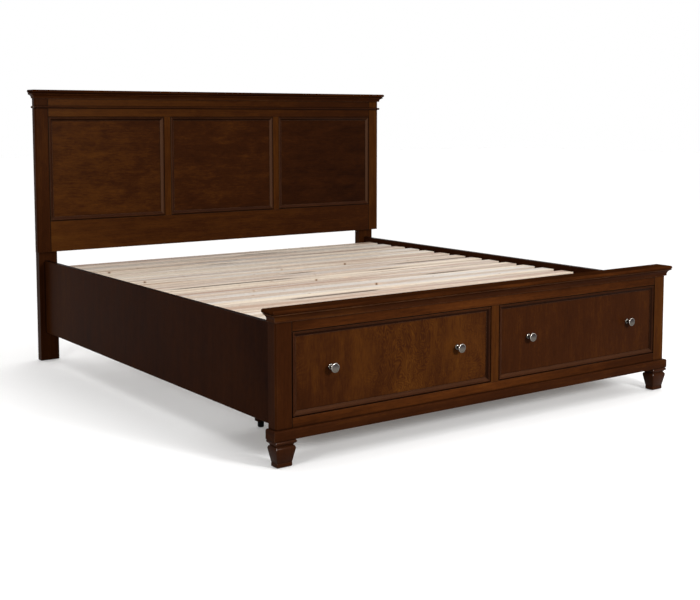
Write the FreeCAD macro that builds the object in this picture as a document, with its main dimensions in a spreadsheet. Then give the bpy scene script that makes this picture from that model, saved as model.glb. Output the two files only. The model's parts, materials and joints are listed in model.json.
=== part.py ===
import FreeCAD, Part
import os
from math import atan2, hypot, sqrt
import Sketcher

# King size storage bed: panelled headboard, low footboard with two drawers, tall side rails and slats.
# X runs across the bed, the foot end faces -Y, Z is up and the floor is z = 0.
# The origin lies on the floor under the middle of the bed's outline.

# Driving sizes in millimetres, each written once; their names are the cells of the sheet
sizes = {
    # Side rails, which set the space for the mattress
    "inner_width": 1950,
    "side_rail_length": 2141,
    "side_rail_thickness": 25,
    "side_rail_height": 359.5,
    "side_rail_underside": 142,
    "edge_ease": 1.5,
    "cleat_width": 25,
    "cleat_height": 35,
    "slat_drop": 24,
    # Headboard, which stands out past the side rails' outer faces and starts above them
    "headboard_outset": 46.5,
    "headboard_thickness": 36,
    "headboard_top": 1332,
    "headboard_gap": 47.5,
    "headboard_post_width": 67,
    "headboard_post_chamfer": 8,
    "headboard_bottom_rail_height": 151.5,
    "headboard_top_rail_height": 116,
    "muntin_width": 37,
    "centre_panel_width": 632,
    "headboard_panel_recess": 9,
    "headboard_panel_thickness": 6,
    "panel_groove_depth": 7,
    "panel_play": 0.2,
    "crown_cap_thickness": 15,
    "crown_front_overhang": 32,
    "crown_side_overhang": 21,
    "crown_back_overhang": 7,
    "crown_nose_flat": 2,
    "crown_moulding_height": 27,
    "crown_moulding_depth": 17,
    "crown_foot_depth": 5,
    "crown_foot_height": 4,
    "crown_cove_radius": 16,
    "crown_bead_height": 9,
    "crown_bead_bulge": 3.2,
    "bead_moulding_height": 11,
    "bead_moulding_depth": 3,
    "bead_moulding_bulge": 3.6,
    "bead_moulding_drop": 69,
    # Headboard legs and their bolts
    "headboard_leg_outset": 29.5,
    "headboard_leg_width": 94,
    "headboard_leg_thickness": 43,
    "headboard_leg_lap": 144,
    "bolt_radius": 4,
    "bolt_play": 0.2,
    "bolt_head_across": 16,
    "bolt_head_height": 4,
    "bolt_bite": 24,
    "bolt_inset": 63,
    "lower_bolt_rise": 44,
    "bolt_spacing": 70,
    # Footboard, which stands out past the side rails and above them
    "footboard_outset": 20,
    "footboard_rise": 40,
    "footboard_underside": 98.5,
    "footboard_post_width": 68,
    "footboard_post_depth": 50,
    "footboard_post_chamfer": 6,
    "footboard_cap_thickness": 15,
    "footboard_cap_front_overhang": 23,
    "footboard_cap_side_overhang": 20.5,
    "footboard_cap_back_overhang": 9,
    "footboard_nose_flat": 2,
    "cove_height": 29,
    "cove_depth": 20,
    "cove_foot_depth": 5,
    "cove_foot_height": 5,
    "cove_lip_height": 3,
    "drawer_opening_underside": 171,
    "footboard_top_rail_height": 66,
    "centre_stile_width": 41,
    "face_frame_thickness": 22,
    "back_rail_thickness": 18,
    "base_moulding_height": 36.5,
    "base_moulding_depth": 11,
    "base_moulding_slope_height": 5,
    "base_moulding_slope_depth": 4,
    # Footboard feet, measured at the neck: a bead above it, a rounded shoulder and a tapered toe below
    "foot_width": 69,
    "foot_depth": 49,
    "foot_inset": 36,
    "foot_setback": 20,
    "foot_bead_height": 12.5,
    "foot_bead_top_reach": 3,
    "foot_bead_root_reach": 6,
    "foot_bead_bulge": 4.5,
    "foot_cove_height": 8,
    "foot_cove_hollow": 1.4,
    "foot_shoulder_height": 12,
    "foot_shoulder_reach": 6,
    "foot_shoulder_bulge": 2,
    "foot_toe_inset": 3.5,
    "foot_toe_height": 15.5,
    "foot_toe_groove": 1.2,
    "foot_bottom_ease": 2,
    "foot_cut_overrun": 4,
    # Glides
    "nail_glide_thickness": 2.5,
    "nail_glide_radius": 12,
    "glide_radius": 12.5,
    "glide_height": 26,
    # Drawer case behind the footboard
    "case_back_clearance": 43,
    "case_side_thickness": 15,
    "case_side_gap": 5,
    "case_underside": 150,
    "case_back_thickness": 18,
    "case_leg_width": 40,
    "case_leg_depth": 30,
    "case_leg_height": 280,
    "case_outer_leg_inset": 177,
    "case_inner_leg_offset": 200,
    "cleat_notch_play": 1,
    # Drawers
    "drawer_reveal": 3,
    "drawer_setback": 1.5,
    "drawer_front_thickness": 16,
    "drawer_moulding_width": 18,
    "drawer_moulding_thickness": 8,
    "drawer_side_thickness": 12,
    "drawer_head_room": 35,
    "drawer_side_rise": 15,
    "drawer_box_shortfall": 4,
    "drawer_bottom_thickness": 5,
    "drawer_bottom_rise": 12,
    "drawer_groove_depth": 6,
    "drawer_bottom_play": 0.2,
    # Telescopic slides
    "slide_length": 450,
    "slide_front_gap": 0.5,
    "slide_space": 12.7,
    "slide_rise": 70,
    "slide_height": 45,
    "slide_outer_thickness": 2,
    "slide_outer_tip_gap": 3.2,
    "slide_middle_thickness": 1.6,
    "slide_middle_tip_gap": 1.4,
    "slide_running_gap": 0.3,
    # Knobs
    "knob_spacing": 593,
    "knob_rise": 156,
    "knob_length": 32,
    "knob_head_radius": 17.5,
    "knob_head_thickness": 8,
    "knob_neck_radius": 6,
    "knob_flare_length": 8,
    "knob_base_radius": 9.5,
    "knob_base_slope": 4,
    "knob_screw_radius": 2,
    "knob_screw_play": 0.1,
    "knob_screw_head_radius": 4.5,
    "knob_screw_head_height": 2.5,
    "knob_screw_bite": 11,
    "knob_bore_spare": 3,
    # Slats and their middle support
    "slat_width": 76,
    "slat_thickness": 19,
    "slat_end_play": 9,
    "first_slat_gap": 61,
    "last_slat_gap": 29,
    "beam_width": 45,
    "beam_height": 60,
    "beam_head_gap": 12,
    "beam_leg_side": 45,
    "beam_leg_inset": 90,
    # Hooked plates that join the side rails to the ends
    "hook_plate_width": 19,
    "hook_plate_height": 150,
    "hook_plate_thickness": 3,
    "hook_plate_play": 0.2,
    "hook_thickness": 3,
    "hook_reach": 13,
    "hook_height": 26,
    "hook_root_height": 14,
    "hook_tongue_setback": 5,
    "hook_end_distance": 22,
    "hook_slot_play": 0.6,
}
slat_count = 16
beam_leg_count = 3

document = FreeCAD.newDocument("StorageBed")
sheet = document.addObject("Spreadsheet::Sheet", "Sizes")
for row, (alias, number) in enumerate(sizes.items(), start=1):
    sheet.set(f"A{row}", alias)
    sheet.set(f"B{row}", str(number))
    sheet.setAlias(f"B{row}", alias)
document.recompute()

nodes = {}


class Size:
    """A number with the formula on the sheet that gives it."""

    def __init__(self, value, formula):
        self.value = value
        self.formula = formula

    def __add__(self, other):
        other = as_size(other)
        return Size(self.value + other.value, f"({self.formula} + {other.formula})")

    def __sub__(self, other):
        other = as_size(other)
        return Size(self.value - other.value, f"({self.formula} - {other.formula})")

    def __mul__(self, other):
        other = as_size(other)
        return Size(self.value * other.value, f"({self.formula} * {other.formula})")

    def __truediv__(self, other):
        other = as_size(other)
        return Size(self.value / other.value, f"({self.formula} / {other.formula})")

    def __radd__(self, other):
        return as_size(other) + self

    def __rsub__(self, other):
        return as_size(other) - self

    def __rmul__(self, other):
        return as_size(other) * self

    def __neg__(self):
        return as_size(0) - self


def as_size(thing):
    """A plain number becomes a size whose formula is that number."""
    return thing if isinstance(thing, Size) else Size(float(thing), str(thing))


class Sheet:
    """The cells of the sheet by name, as sizes."""

    def __getattr__(self, alias):
        return Size(float(sheet.get(alias)), f"Sizes.{alias}")


s = Sheet()
zero = as_size(0)


# Tools for outlines and objects

def bind(thing, prop, size):
    """Tie one property of an object to a formula on the sheet."""
    thing.setExpression(prop, as_size(size).formula)


def move(thing, x, y, z):
    """Put an object's origin at a point worked out on the sheet."""
    for axis, size in zip("xyz", (x, y, z)):
        bind(thing, f"Placement.Base.{axis}", size)


def keep(label, thing):
    """Take an object as one named sub-part."""
    thing.Label = label
    nodes[label] = thing
    return thing


def mirrored(outline):
    """The outline turned over about its upright axis, with its arcs bulging the other way."""
    return [(-as_size(x), y, *(-r for r in arc)) for x, y, *arc in outline]


def eased_rectangle(width, height, ease):
    """A rectangle from the origin with its four corners cut off."""
    return [
        (ease, zero), (width - ease, zero), (width, ease), (width, height - ease),
        (width - ease, height), (ease, height), (zero, height - ease), (zero, ease),
    ]


def hexagon(across):
    """A hexagon about the origin from the distance across its flats."""
    flat_share = 0.5
    point_share = flat_share / sqrt(3)
    half, quarter = across * flat_share, across * point_share
    return both_halves([(quarter, -half), (2 * quarter, zero), (quarter, half)])


def both_halves(half):
    """The whole outline of a piece that is the same both sides, from its right half listed upwards."""
    whole = list(half)
    for index in reversed(range(len(half))):
        arc = half[index + 1][2:] if index + 1 < len(half) else ()
        whole.append((-half[index][0], half[index][1], *arc))
    return whole


def bulge_radius(up, bulge, across=zero):
    """Radius of the arc between two points up and across apart that rises by bulge in its middle."""
    chord_square = up * up + across * across
    return (chord_square / 4 + bulge * bulge) / (2 * bulge)


def arc_middle(start, end, radius):
    """Centre of the short arc from start to end; a positive radius turns to the left."""
    dx = end[0] - start[0]
    dy = end[1] - start[1]
    chord = hypot(dx, dy)
    rise = sqrt(max(radius * radius - chord * chord / 4, 0)) * (1 if radius > 0 else -1)
    return (start[0] + end[0]) / 2 - dy / chord * rise, (start[1] + end[1]) / 2 + dx / chord * rise


def outline_curves(points):
    """Lines and arcs round a closed outline of (x, y) or (x, y, radius of the arc that ends there)."""
    curves = []
    for index, point in enumerate(points):
        before = points[index - 1]
        start = FreeCAD.Vector(before[0], before[1], 0)
        end = FreeCAD.Vector(point[0], point[1], 0)
        if len(point) == 2:
            curves.append((Part.LineSegment(start, end), 1, 2))
            continue
        cx, cy = arc_middle(before, point, point[2])
        circle = Part.Circle(FreeCAD.Vector(cx, cy, 0), FreeCAD.Vector(0, 0, 1), abs(point[2]))
        first = atan2(before[1] - cy, before[0] - cx)
        last = atan2(point[1] - cy, point[0] - cx)
        if point[2] > 0:
            curves.append((Part.ArcOfCircle(circle, first, last), 1, 2))
        else:
            curves.append((Part.ArcOfCircle(circle, last, first), 2, 1))
    return curves


def numbers(outline):
    """The outline's sizes as plain numbers."""
    return [tuple(as_size(size).value for size in point) for point in outline]


def draw_outline(sketch, outline):
    """Draw a closed outline whose corners and radii are tied to the sheet."""
    first_curve = sketch.GeometryCount
    curves = outline_curves(numbers(outline))
    sketch.addGeometry([curve for curve, _, _ in curves], False)
    for index, point in enumerate(outline):
        curve = first_curve + index
        after = first_curve + (index + 1) % len(outline)
        far_end = curves[index][2]
        start_end = curves[(index + 1) % len(outline)][1]
        sketch.addConstraint(Sketcher.Constraint("Coincident", curve, far_end, after, start_end))
        for kind, size in (("DistanceX", point[0]), ("DistanceY", point[1])):
            size = as_size(size)
            number = sketch.addConstraint(Sketcher.Constraint(kind, -1, 1, curve, far_end, size.value))
            if "Sizes" in size.formula:
                sketch.setExpression(f"Constraints[{number}]", size.formula)
        if len(point) > 2:
            radius = as_size(point[2])
            number = sketch.addConstraint(Sketcher.Constraint("Radius", curve, abs(radius.value)))
            sign = "" if radius.value > 0 else "-1 * "
            sketch.setExpression(f"Constraints[{number}]", f"{sign}{radius.formula}")


def sketch_on(body, role, outline):
    """A sketch on one of the body's own origin planes."""
    plane = next(feature for feature in body.Origin.OriginFeatures if feature.Role == role)
    sketch = body.newObject("Sketcher::SketchObject", f"{body.Name}_sketch")
    sketch.AttachmentSupport = [(plane, "")]
    sketch.MapMode = "FlatFace"
    draw_outline(sketch, outline)
    return sketch


def extrusion(name, along, outline, length, x=zero, y=zero, z=zero):
    """A body padded from a sketched section along X, Y or Z, with the section's origin at x, y, z."""
    body = document.addObject("PartDesign::Body", name)
    role = {"X": "YZ_Plane", "Y": "XZ_Plane", "Z": "XY_Plane"}[along]
    pad = body.newObject("PartDesign::Pad", f"{name}_pad")
    pad.Profile = sketch_on(body, role, outline)
    bind(pad, "Length", length)
    pad.Reversed = along == "Y"
    move(body, x, y, z)
    return body


def board(name, along, width, depth, height, x, y, z, ease=None):
    """A straight board with eased long edges: its size along X, Y and Z and its low corner."""
    across = {"X": (depth, height), "Y": (width, height), "Z": (width, depth)}[along]
    length = {"X": width, "Y": depth, "Z": height}[along]
    outline = eased_rectangle(*across, s.edge_ease if ease is None else ease)
    return extrusion(name, along, outline, length, x, y, z)


def block(name, width, depth, height, x, y, z):
    """A plain block from its size and its low corner."""
    thing = document.addObject("Part::Box", name)
    bind(thing, "Length", width)
    bind(thing, "Width", depth)
    bind(thing, "Height", height)
    move(thing, x, y, z)
    return thing


def rod(name, radius, length, x, y, z, along="Z"):
    """A cylinder from its radius, length and start point, along Z or along +Y."""
    thing = document.addObject("Part::Cylinder", name)
    bind(thing, "Radius", radius)
    bind(thing, "Height", length)
    if along == "Y":
        thing.Placement.Rotation = FreeCAD.Rotation(FreeCAD.Vector(1, 0, 0), -90)
    move(thing, x, y, z)
    return thing


def turned(name, outline, x, y, z):
    """A body turned about an axis along Y from an outline of (radius, distance along the axis)."""
    body = document.addObject("PartDesign::Body", name)
    turn = body.newObject("PartDesign::Revolution", f"{name}_turn")
    sketch = sketch_on(body, "XY_Plane", outline)
    turn.Profile = sketch
    turn.ReferenceAxis = (sketch, ["V_Axis"])
    turn.Angle = 360
    move(body, x, y, z)
    return body


def cut(name, base, tools):
    """The base with each tool taken away."""
    together = tools[0]
    if len(tools) > 1:
        together = document.addObject("Part::Compound", f"{name}_tools")
        together.Links = tools
    thing = document.addObject("Part::Cut", f"{name}_cut")
    thing.Base = base
    thing.Tool = together
    return thing


def fused(name, things):
    """Touching shapes joined into one solid."""
    thing = document.addObject("Part::MultiFuse", name)
    thing.Shapes = things
    return thing


def group(label, things):
    """Separate solids that share one name."""
    thing = document.addObject("Part::Compound", f"{label}_group")
    thing.Links = things
    return keep(label, thing)


def feature(label, solids, x, y, z):
    """Solids made from the sheet's numbers, put in their place."""
    thing = document.addObject("Part::Feature", label)
    thing.Shape = Part.makeCompound(solids)
    thing.Placement = FreeCAD.Placement(FreeCAD.Vector(x.value, y.value, z.value), FreeCAD.Rotation())
    return keep(label, thing)


def mitred_strip(outline, length, width, start, end, across_wall):
    """A moulding along +X from a section of (depth off the wall towards -Y, rise along Z).

    start and end are 1 where the strip grows past its length as it leaves the wall or its outer edge,
    -1 where it gets shorter and 0 where it is square. The mitre runs up the wall, or off it.
    """
    points = [(-depth, rise, *(-r for r in arc)) for depth, rise, *arc in numbers(outline)]
    wire = Part.Wire([curve.toShape() for curve, _, _ in outline_curves(points)])
    upright = FreeCAD.Placement(FreeCAD.Vector(-width, 0, 0), FreeCAD.Rotation(FreeCAD.Vector(1, 1, 1), 120))
    wire.transformShape(upright.toMatrix())
    strip = Part.Face(wire).extrude(FreeCAD.Vector(length + 2 * width, 0, 0))
    plan = [(0, 0), (length, 0), (length + end * width, width), (-start * width, width)]
    if across_wall:
        corners = [FreeCAD.Vector(x, -width, rise) for x, rise in plan]
        push = FreeCAD.Vector(0, 2 * width, 0)
    else:
        corners = [FreeCAD.Vector(x, -depth, -length) for x, depth in plan]
        push = FreeCAD.Vector(0, 0, 2 * length)
    prism = Part.Face(Part.makePolygon(corners + corners[:1])).extrude(push)
    return strip.common(prism).Solids[0]


def placed(solid, x, y, z, axis, angle):
    """A copy of a solid turned about its origin and moved."""
    copy = solid.copy()
    copy.Placement = FreeCAD.Placement(FreeCAD.Vector(x, y, z), FreeCAD.Rotation(axis, angle))
    return copy


def moulding_frame(outline, strip_width, width, height, x=0, z=0):
    """Four mitred strips round an opening whose low left corner is at x, z."""
    about = FreeCAD.Vector(0, 1, 0)
    flat = mitred_strip(outline, width, strip_width, -1, -1, True)
    tall = mitred_strip(outline, height, strip_width, -1, -1, True)
    return [
        placed(flat, x, 0, z, about, 0),
        placed(tall, x + width, 0, z, about, -90),
        placed(flat, x + width, 0, z + height, about, 180),
        placed(tall, x, 0, z + height, about, 90),
    ]


def moulding_wrap(outline, depth, width, side_length):
    """Three mitred strips round the front and both sides of a block that is width wide."""
    about = FreeCAD.Vector(0, 0, 1)
    front = mitred_strip(outline, width, depth, 1, 1, False)
    left = mitred_strip(outline, side_length, depth, 0, 1, False)
    right = mitred_strip(outline, side_length, depth, 1, 0, False)
    return [
        placed(left, -width / 2, side_length, 0, about, -90),
        placed(front, -width / 2, 0, 0, about, 0),
        placed(right, width / 2, 0, 0, about, 90),
    ]


def nosed_cap(label, width, depth, thickness, flat, y, z):
    """A cap board whose front and side edges are rounded above and below a narrow flat."""
    body = extrusion(label, "Z", [(zero, zero), (width, zero), (width, depth), (zero, depth)], thickness,
                     -width / 2, y, z)
    document.recompute()
    edges = []
    for index, edge in enumerate(body.Shape.Edges, start=1):
        box = edge.BoundBox
        level = box.ZLength < thickness.value / 2
        at_back = box.YMin > (y + depth).value - thickness.value
        if level and not at_back:
            edges.append(f"Edge{index}")
    pad = body.Tip
    nose = body.newObject("PartDesign::Fillet", f"{label}_nose")
    nose.Base = (pad, edges)
    bind(nose, "Radius", (thickness - flat) / 2)
    return keep(label, body)


# Places that several pieces share

overall_length = (s.footboard_cap_front_overhang + s.footboard_post_depth + s.side_rail_length
                  + s.headboard_leg_thickness + s.bolt_head_height)
front = s.footboard_cap_front_overhang - overall_length / 2
rail_start = front + s.footboard_post_depth
headboard_front = rail_start + s.side_rail_length - s.headboard_thickness
leg_front = headboard_front + s.headboard_thickness
side_rail_outer = s.inner_width / 2 + s.side_rail_thickness
headboard_width = 2 * (side_rail_outer + s.headboard_outset)
footboard_width = 2 * (side_rail_outer + s.footboard_outset)
leg_outer = side_rail_outer + s.headboard_leg_outset
side_rail_top = s.side_rail_underside + s.side_rail_height
slat_underside = side_rail_top - s.slat_drop - s.slat_thickness
headboard_underside = side_rail_top + s.headboard_gap
footboard_top = side_rail_top + s.footboard_rise
opening_top = footboard_top - s.footboard_top_rail_height
opening_height = opening_top - s.drawer_opening_underside
opening_outer = footboard_width / 2 - s.footboard_post_width
opening_width = opening_outer - s.centre_stile_width / 2
drawer_panel_front = front + s.drawer_setback + s.drawer_moulding_thickness
drawer_box_front = drawer_panel_front + s.drawer_front_thickness
drawer_box_low = s.drawer_opening_underside + s.drawer_side_rise
slide_front = drawer_box_front + s.slide_front_gap
case_back = slide_front + s.slide_length + s.case_back_clearance
sides = (("left", -1), ("right", 1))


# Headboard

def headboard_frame():
    """Two posts, two rails and two muntins, grooved on their inner edges for the panels."""
    post_height = s.headboard_top - headboard_underside
    post_inner = headboard_width / 2 - s.headboard_post_width
    groove_front = s.headboard_panel_recess
    groove_back = groove_front + s.headboard_panel_thickness + s.panel_play
    groove = s.panel_groove_depth
    width = s.headboard_post_width
    depth = s.headboard_thickness
    chamfer = s.headboard_post_chamfer
    ease = s.edge_ease
    post = [
        (ease, zero), (width - chamfer, zero), (width, chamfer), (width, depth - ease), (width - ease, depth),
        (zero, depth), (zero, groove_back), (groove, groove_back), (groove, groove_front),
        (zero, groove_front), (zero, ease),
    ]
    for name, side in sides:
        outline = post if side > 0 else mirrored(post)
        label = f"headboard_{name}_post"
        keep(label, extrusion(label, "Z", outline, post_height, side * post_inner, headboard_front,
                              headboard_underside))

    height = s.headboard_bottom_rail_height
    bottom = [
        (ease, zero), (depth - ease, zero), (depth, ease), (depth, height), (groove_back, height),
        (groove_back, height - groove), (groove_front, height - groove), (groove_front, height),
        (ease, height), (zero, height - ease), (zero, ease),
    ]
    rail = extrusion("headboard_bottom_rail", "X", bottom, 2 * post_inner, -post_inner, headboard_front,
                     headboard_underside)
    keep("headboard_bottom_rail", cut("headboard_bottom_rail", rail, leg_bolt_holes("rail_bolt_hole")))

    height = s.headboard_top_rail_height
    top = [
        (ease, zero), (groove_front, zero), (groove_front, groove), (groove_back, groove),
        (groove_back, zero), (depth, zero), (depth, height), (zero, height), (zero, ease),
    ]
    top_rail_underside = s.headboard_top - s.headboard_top_rail_height
    keep("headboard_top_rail", extrusion("headboard_top_rail", "X", top, 2 * post_inner, -post_inner,
                                         headboard_front, top_rail_underside))

    width = s.muntin_width
    muntin = [
        (ease, zero), (width - ease, zero), (width, ease), (width, groove_front),
        (width - groove, groove_front), (width - groove, groove_back), (width, groove_back), (width, depth),
        (zero, depth), (zero, groove_back), (groove, groove_back), (groove, groove_front),
        (zero, groove_front), (zero, ease),
    ]
    sill = headboard_underside + s.headboard_bottom_rail_height
    length = top_rail_underside - sill
    muntins = []
    for name, side in sides:
        x = side * s.centre_panel_width / 2 - (s.muntin_width if side < 0 else zero)
        muntins.append(extrusion(f"headboard_{name}_muntin", "Z", muntin, length, x, headboard_front, sill))
    group("headboard_muntins", muntins)


def headboard_panels():
    """Three flat panels held in the frame's grooves."""
    sill = headboard_underside + s.headboard_bottom_rail_height
    panel_opening = s.headboard_top - s.headboard_top_rail_height - sill
    hidden = s.panel_groove_depth - s.panel_play
    height = panel_opening + 2 * hidden
    y = headboard_front + s.headboard_panel_recess + s.panel_play / 2
    post_inner = headboard_width / 2 - s.headboard_post_width
    muntin_outer = s.centre_panel_width / 2 + s.muntin_width
    side_opening = post_inner - muntin_outer
    centre = block("headboard_centre_panel", s.centre_panel_width + 2 * hidden, s.headboard_panel_thickness,
                   height, -s.centre_panel_width / 2 - hidden, y, sill - hidden)
    keep("headboard_centre_panel", centre)
    for name, side in sides:
        x = (muntin_outer if side > 0 else -post_inner) - hidden
        label = f"headboard_{name}_panel"
        keep(label, block(label, side_opening + 2 * hidden, s.headboard_panel_thickness, height,
                          x, y, sill - hidden))
    return sill, panel_opening, side_opening, post_inner


def ogee(width, thickness):
    """Section of a panel moulding: a flat land, a small step and an ogee down to a thin edge."""
    land_share, step_share, foot_share, bend_share = 0.24, 0.14, 0.2, 0.42
    land = land_share * width
    step = step_share * thickness
    foot = foot_share * thickness
    middle_rise = (land + width) / 2
    middle_depth = (thickness - step + foot) / 2
    bend = bend_share * width
    return [
        (zero, zero), (thickness - step, zero), (thickness, step), (thickness, land),
        (thickness - step, land), (middle_depth, middle_rise, -bend), (foot, width, bend), (zero, width),
    ]


def headboard_panel_mouldings(sill, panel_opening, side_opening, post_inner):
    """A mitred frame of moulding in front of each panel."""
    section = ogee(s.drawer_moulding_width, s.headboard_panel_recess)
    width = s.drawer_moulding_width.value
    height = panel_opening.value
    low = (-post_inner.value, -s.centre_panel_width.value / 2,
           (s.centre_panel_width / 2 + s.muntin_width).value)
    openings = (side_opening.value, s.centre_panel_width.value, side_opening.value)
    strips = []
    for x, opening in zip(low, openings):
        strips += moulding_frame(section, width, opening, height, x)
    feature("headboard_panel_mouldings", strips, zero, headboard_front + s.headboard_panel_recess, sill)


def headboard_mouldings():
    """Crown cap, the crown moulding under it and the bead round the frieze."""
    nosed_cap("headboard_crown_cap", headboard_width + 2 * s.crown_side_overhang,
              s.crown_front_overhang + s.headboard_thickness + s.crown_back_overhang,
              s.crown_cap_thickness, s.crown_nose_flat, headboard_front - s.crown_front_overhang,
              s.headboard_top)
    foot_depth, depth, height = s.crown_foot_depth, s.crown_moulding_depth, s.crown_moulding_height
    bead, bulge = s.crown_bead_height, s.crown_bead_bulge
    crown = [
        (zero, zero), (foot_depth, zero), (foot_depth, s.crown_foot_height),
        (depth, height - bead, -s.crown_cove_radius), (depth, height, bulge_radius(bead, bulge)),
        (zero, height),
    ]
    strips = moulding_wrap(crown, (depth + 2 * bulge).value, headboard_width.value,
                           s.headboard_thickness.value)
    feature("headboard_crown_moulding", strips, zero, headboard_front, s.headboard_top - height)

    depth, height, bulge = s.bead_moulding_depth, s.bead_moulding_height, s.bead_moulding_bulge
    bead_section = [(zero, zero), (depth, zero), (depth, height, bulge_radius(height, bulge)), (zero, height)]
    strips = moulding_wrap(bead_section, (depth + 2 * bulge).value, headboard_width.value,
                           s.headboard_thickness.value)
    feature("headboard_bead_moulding", strips, zero, headboard_front,
            s.headboard_top - s.bead_moulding_drop - height / 2)


def leg_bolt_places():
    """Places of the bolts that hold the headboard legs, as x and z."""
    for side in (-1, 1):
        for step in (0, 1):
            x = side * (leg_outer - s.bolt_inset)
            yield x, headboard_underside + s.lower_bolt_rise + step * s.bolt_spacing


def leg_bolt_holes(name):
    """Holes for the leg bolts through the legs and into the bottom rail."""
    length = s.bolt_bite + s.headboard_leg_thickness
    return [
        rod(f"{name}_{index}", s.bolt_radius + s.bolt_play, length, x, leg_front - s.bolt_bite, z, "Y")
        for index, (x, z) in enumerate(leg_bolt_places())
    ]


def headboard_legs():
    """Two straight legs bolted to the back of the headboard, slotted for the rail hooks."""
    for name, side in sides:
        x = side * leg_outer - (s.headboard_leg_width if side > 0 else zero)
        label = f"headboard_{name}_leg"
        height = headboard_underside + s.headboard_leg_lap - s.nail_glide_thickness
        leg = board(f"{label}_body", "Z", s.headboard_leg_width, s.headboard_leg_thickness, height,
                    x, leg_front, s.nail_glide_thickness)
        tools = leg_bolt_holes(f"{label}_bolt_hole") + hook_slots(label, side, leg_front, 1)
        keep(label, cut(label, leg, tools))
    bolts = []
    leg_back = leg_front + s.headboard_leg_thickness
    reach = s.headboard_leg_thickness + s.bolt_bite - s.bolt_play
    for index, (x, z) in enumerate(leg_bolt_places()):
        head = extrusion(f"leg_bolt_{index}_head", "Y", hexagon(s.bolt_head_across), s.bolt_head_height,
                         x, leg_back, z)
        shank = rod(f"leg_bolt_{index}_shank", s.bolt_radius, reach, x, leg_back - reach, z, "Y")
        bolts.append(fused(f"leg_bolt_{index}", [head, shank]))
    group("headboard_leg_bolts", bolts)


# Footboard

def footboard_frame():
    """Posts, the face frame round the two drawers and the board that backs the mattress."""
    height = footboard_top - s.footboard_underside
    width, depth = s.footboard_post_width, s.footboard_post_depth
    chamfer, ease = s.footboard_post_chamfer, s.edge_ease
    post = [
        (ease, zero), (width - chamfer, zero), (width, chamfer), (width, depth - ease), (width - ease, depth),
        (zero, depth), (zero, ease),
    ]
    for name, side in sides:
        outline = post if side > 0 else mirrored(post)
        label = f"footboard_{name}_post"
        body = extrusion(f"{label}_body", "Z", outline, height, side * opening_outer, front,
                         s.footboard_underside)
        keep(label, cut(label, body, hook_slots(label, side, rail_start, -1)))

    span = 2 * opening_outer
    thickness = s.face_frame_thickness
    keep("footboard_top_rail", board("footboard_top_rail", "X", span, thickness,
                                     s.footboard_top_rail_height, -span / 2, front, opening_top))
    low = s.footboard_underside
    keep("footboard_bottom_rail", board("footboard_bottom_rail", "X", span, thickness,
                                        s.drawer_opening_underside - low, -span / 2, front, low))
    keep("footboard_centre_stile", board("footboard_centre_stile", "Z", s.centre_stile_width, thickness,
                                         opening_height, -s.centre_stile_width / 2, front,
                                         s.drawer_opening_underside))
    back_y = rail_start - s.back_rail_thickness
    keep("footboard_back_rail", board("footboard_back_rail", "X", span, s.back_rail_thickness,
                                      footboard_top - slat_underside, -span / 2, back_y, slat_underside))


def footboard_mouldings():
    """Cap board, the cove under it and the moulding round the base."""
    nosed_cap("footboard_cap", footboard_width + 2 * s.footboard_cap_side_overhang,
              s.footboard_cap_front_overhang + s.footboard_post_depth + s.footboard_cap_back_overhang,
              s.footboard_cap_thickness, s.footboard_nose_flat, front - s.footboard_cap_front_overhang,
              footboard_top)
    depth, height = s.cove_depth, s.cove_height
    foot_depth, foot_height, lip = s.cove_foot_depth, s.cove_foot_height, s.cove_lip_height
    cove = [
        (zero, zero), (foot_depth, zero), (foot_depth, foot_height), (depth, height - lip, -(height - lip)),
        (depth, height), (zero, height),
    ]
    strips = moulding_wrap(cove, (depth + foot_depth).value, footboard_width.value,
                           s.footboard_post_depth.value)
    feature("footboard_cove_moulding", strips, zero, front, footboard_top - height)

    depth, height = s.base_moulding_depth, s.base_moulding_height
    slope_height, slope_depth = s.base_moulding_slope_height, s.base_moulding_slope_depth
    ease = s.edge_ease
    base = [
        (zero, zero), (depth - ease, zero), (depth, ease), (depth, height - slope_height - ease),
        (depth - ease / 2, height - slope_height), (depth - slope_depth, height), (zero, height),
    ]
    strips = moulding_wrap(base, 2 * depth.value, footboard_width.value, s.footboard_post_depth.value)
    feature("footboard_base_moulding", strips, zero, front, s.footboard_underside)


def foot_section(neck):
    """Half of a foot's outline from its half width at the neck: toe groove, taper, shoulder, cove and bead."""
    low, top = s.nail_glide_thickness, s.footboard_underside
    toe = low + s.foot_toe_height
    ease, groove = s.foot_bottom_ease, s.foot_toe_groove
    root_level = top - s.foot_bead_height
    neck_level = root_level - s.foot_cove_height
    shoulder_level = neck_level - s.foot_shoulder_height
    half = neck - s.foot_toe_inset
    shoulder = bulge_radius(s.foot_shoulder_height, s.foot_shoulder_bulge, s.foot_shoulder_reach)
    cove = bulge_radius(s.foot_cove_height, s.foot_cove_hollow, s.foot_bead_root_reach)
    bead = bulge_radius(s.foot_bead_height, s.foot_bead_bulge, s.foot_bead_root_reach - s.foot_bead_top_reach)
    return [
        (half - ease, low), (half, low + ease), (half, toe - groove), (half - groove, toe),
        (half, toe + groove), (neck + s.foot_shoulder_reach, shoulder_level),
        (neck, neck_level, shoulder), (neck + s.foot_bead_root_reach, root_level, -cove),
        (neck + s.foot_bead_top_reach, top, bead),
    ]


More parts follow.
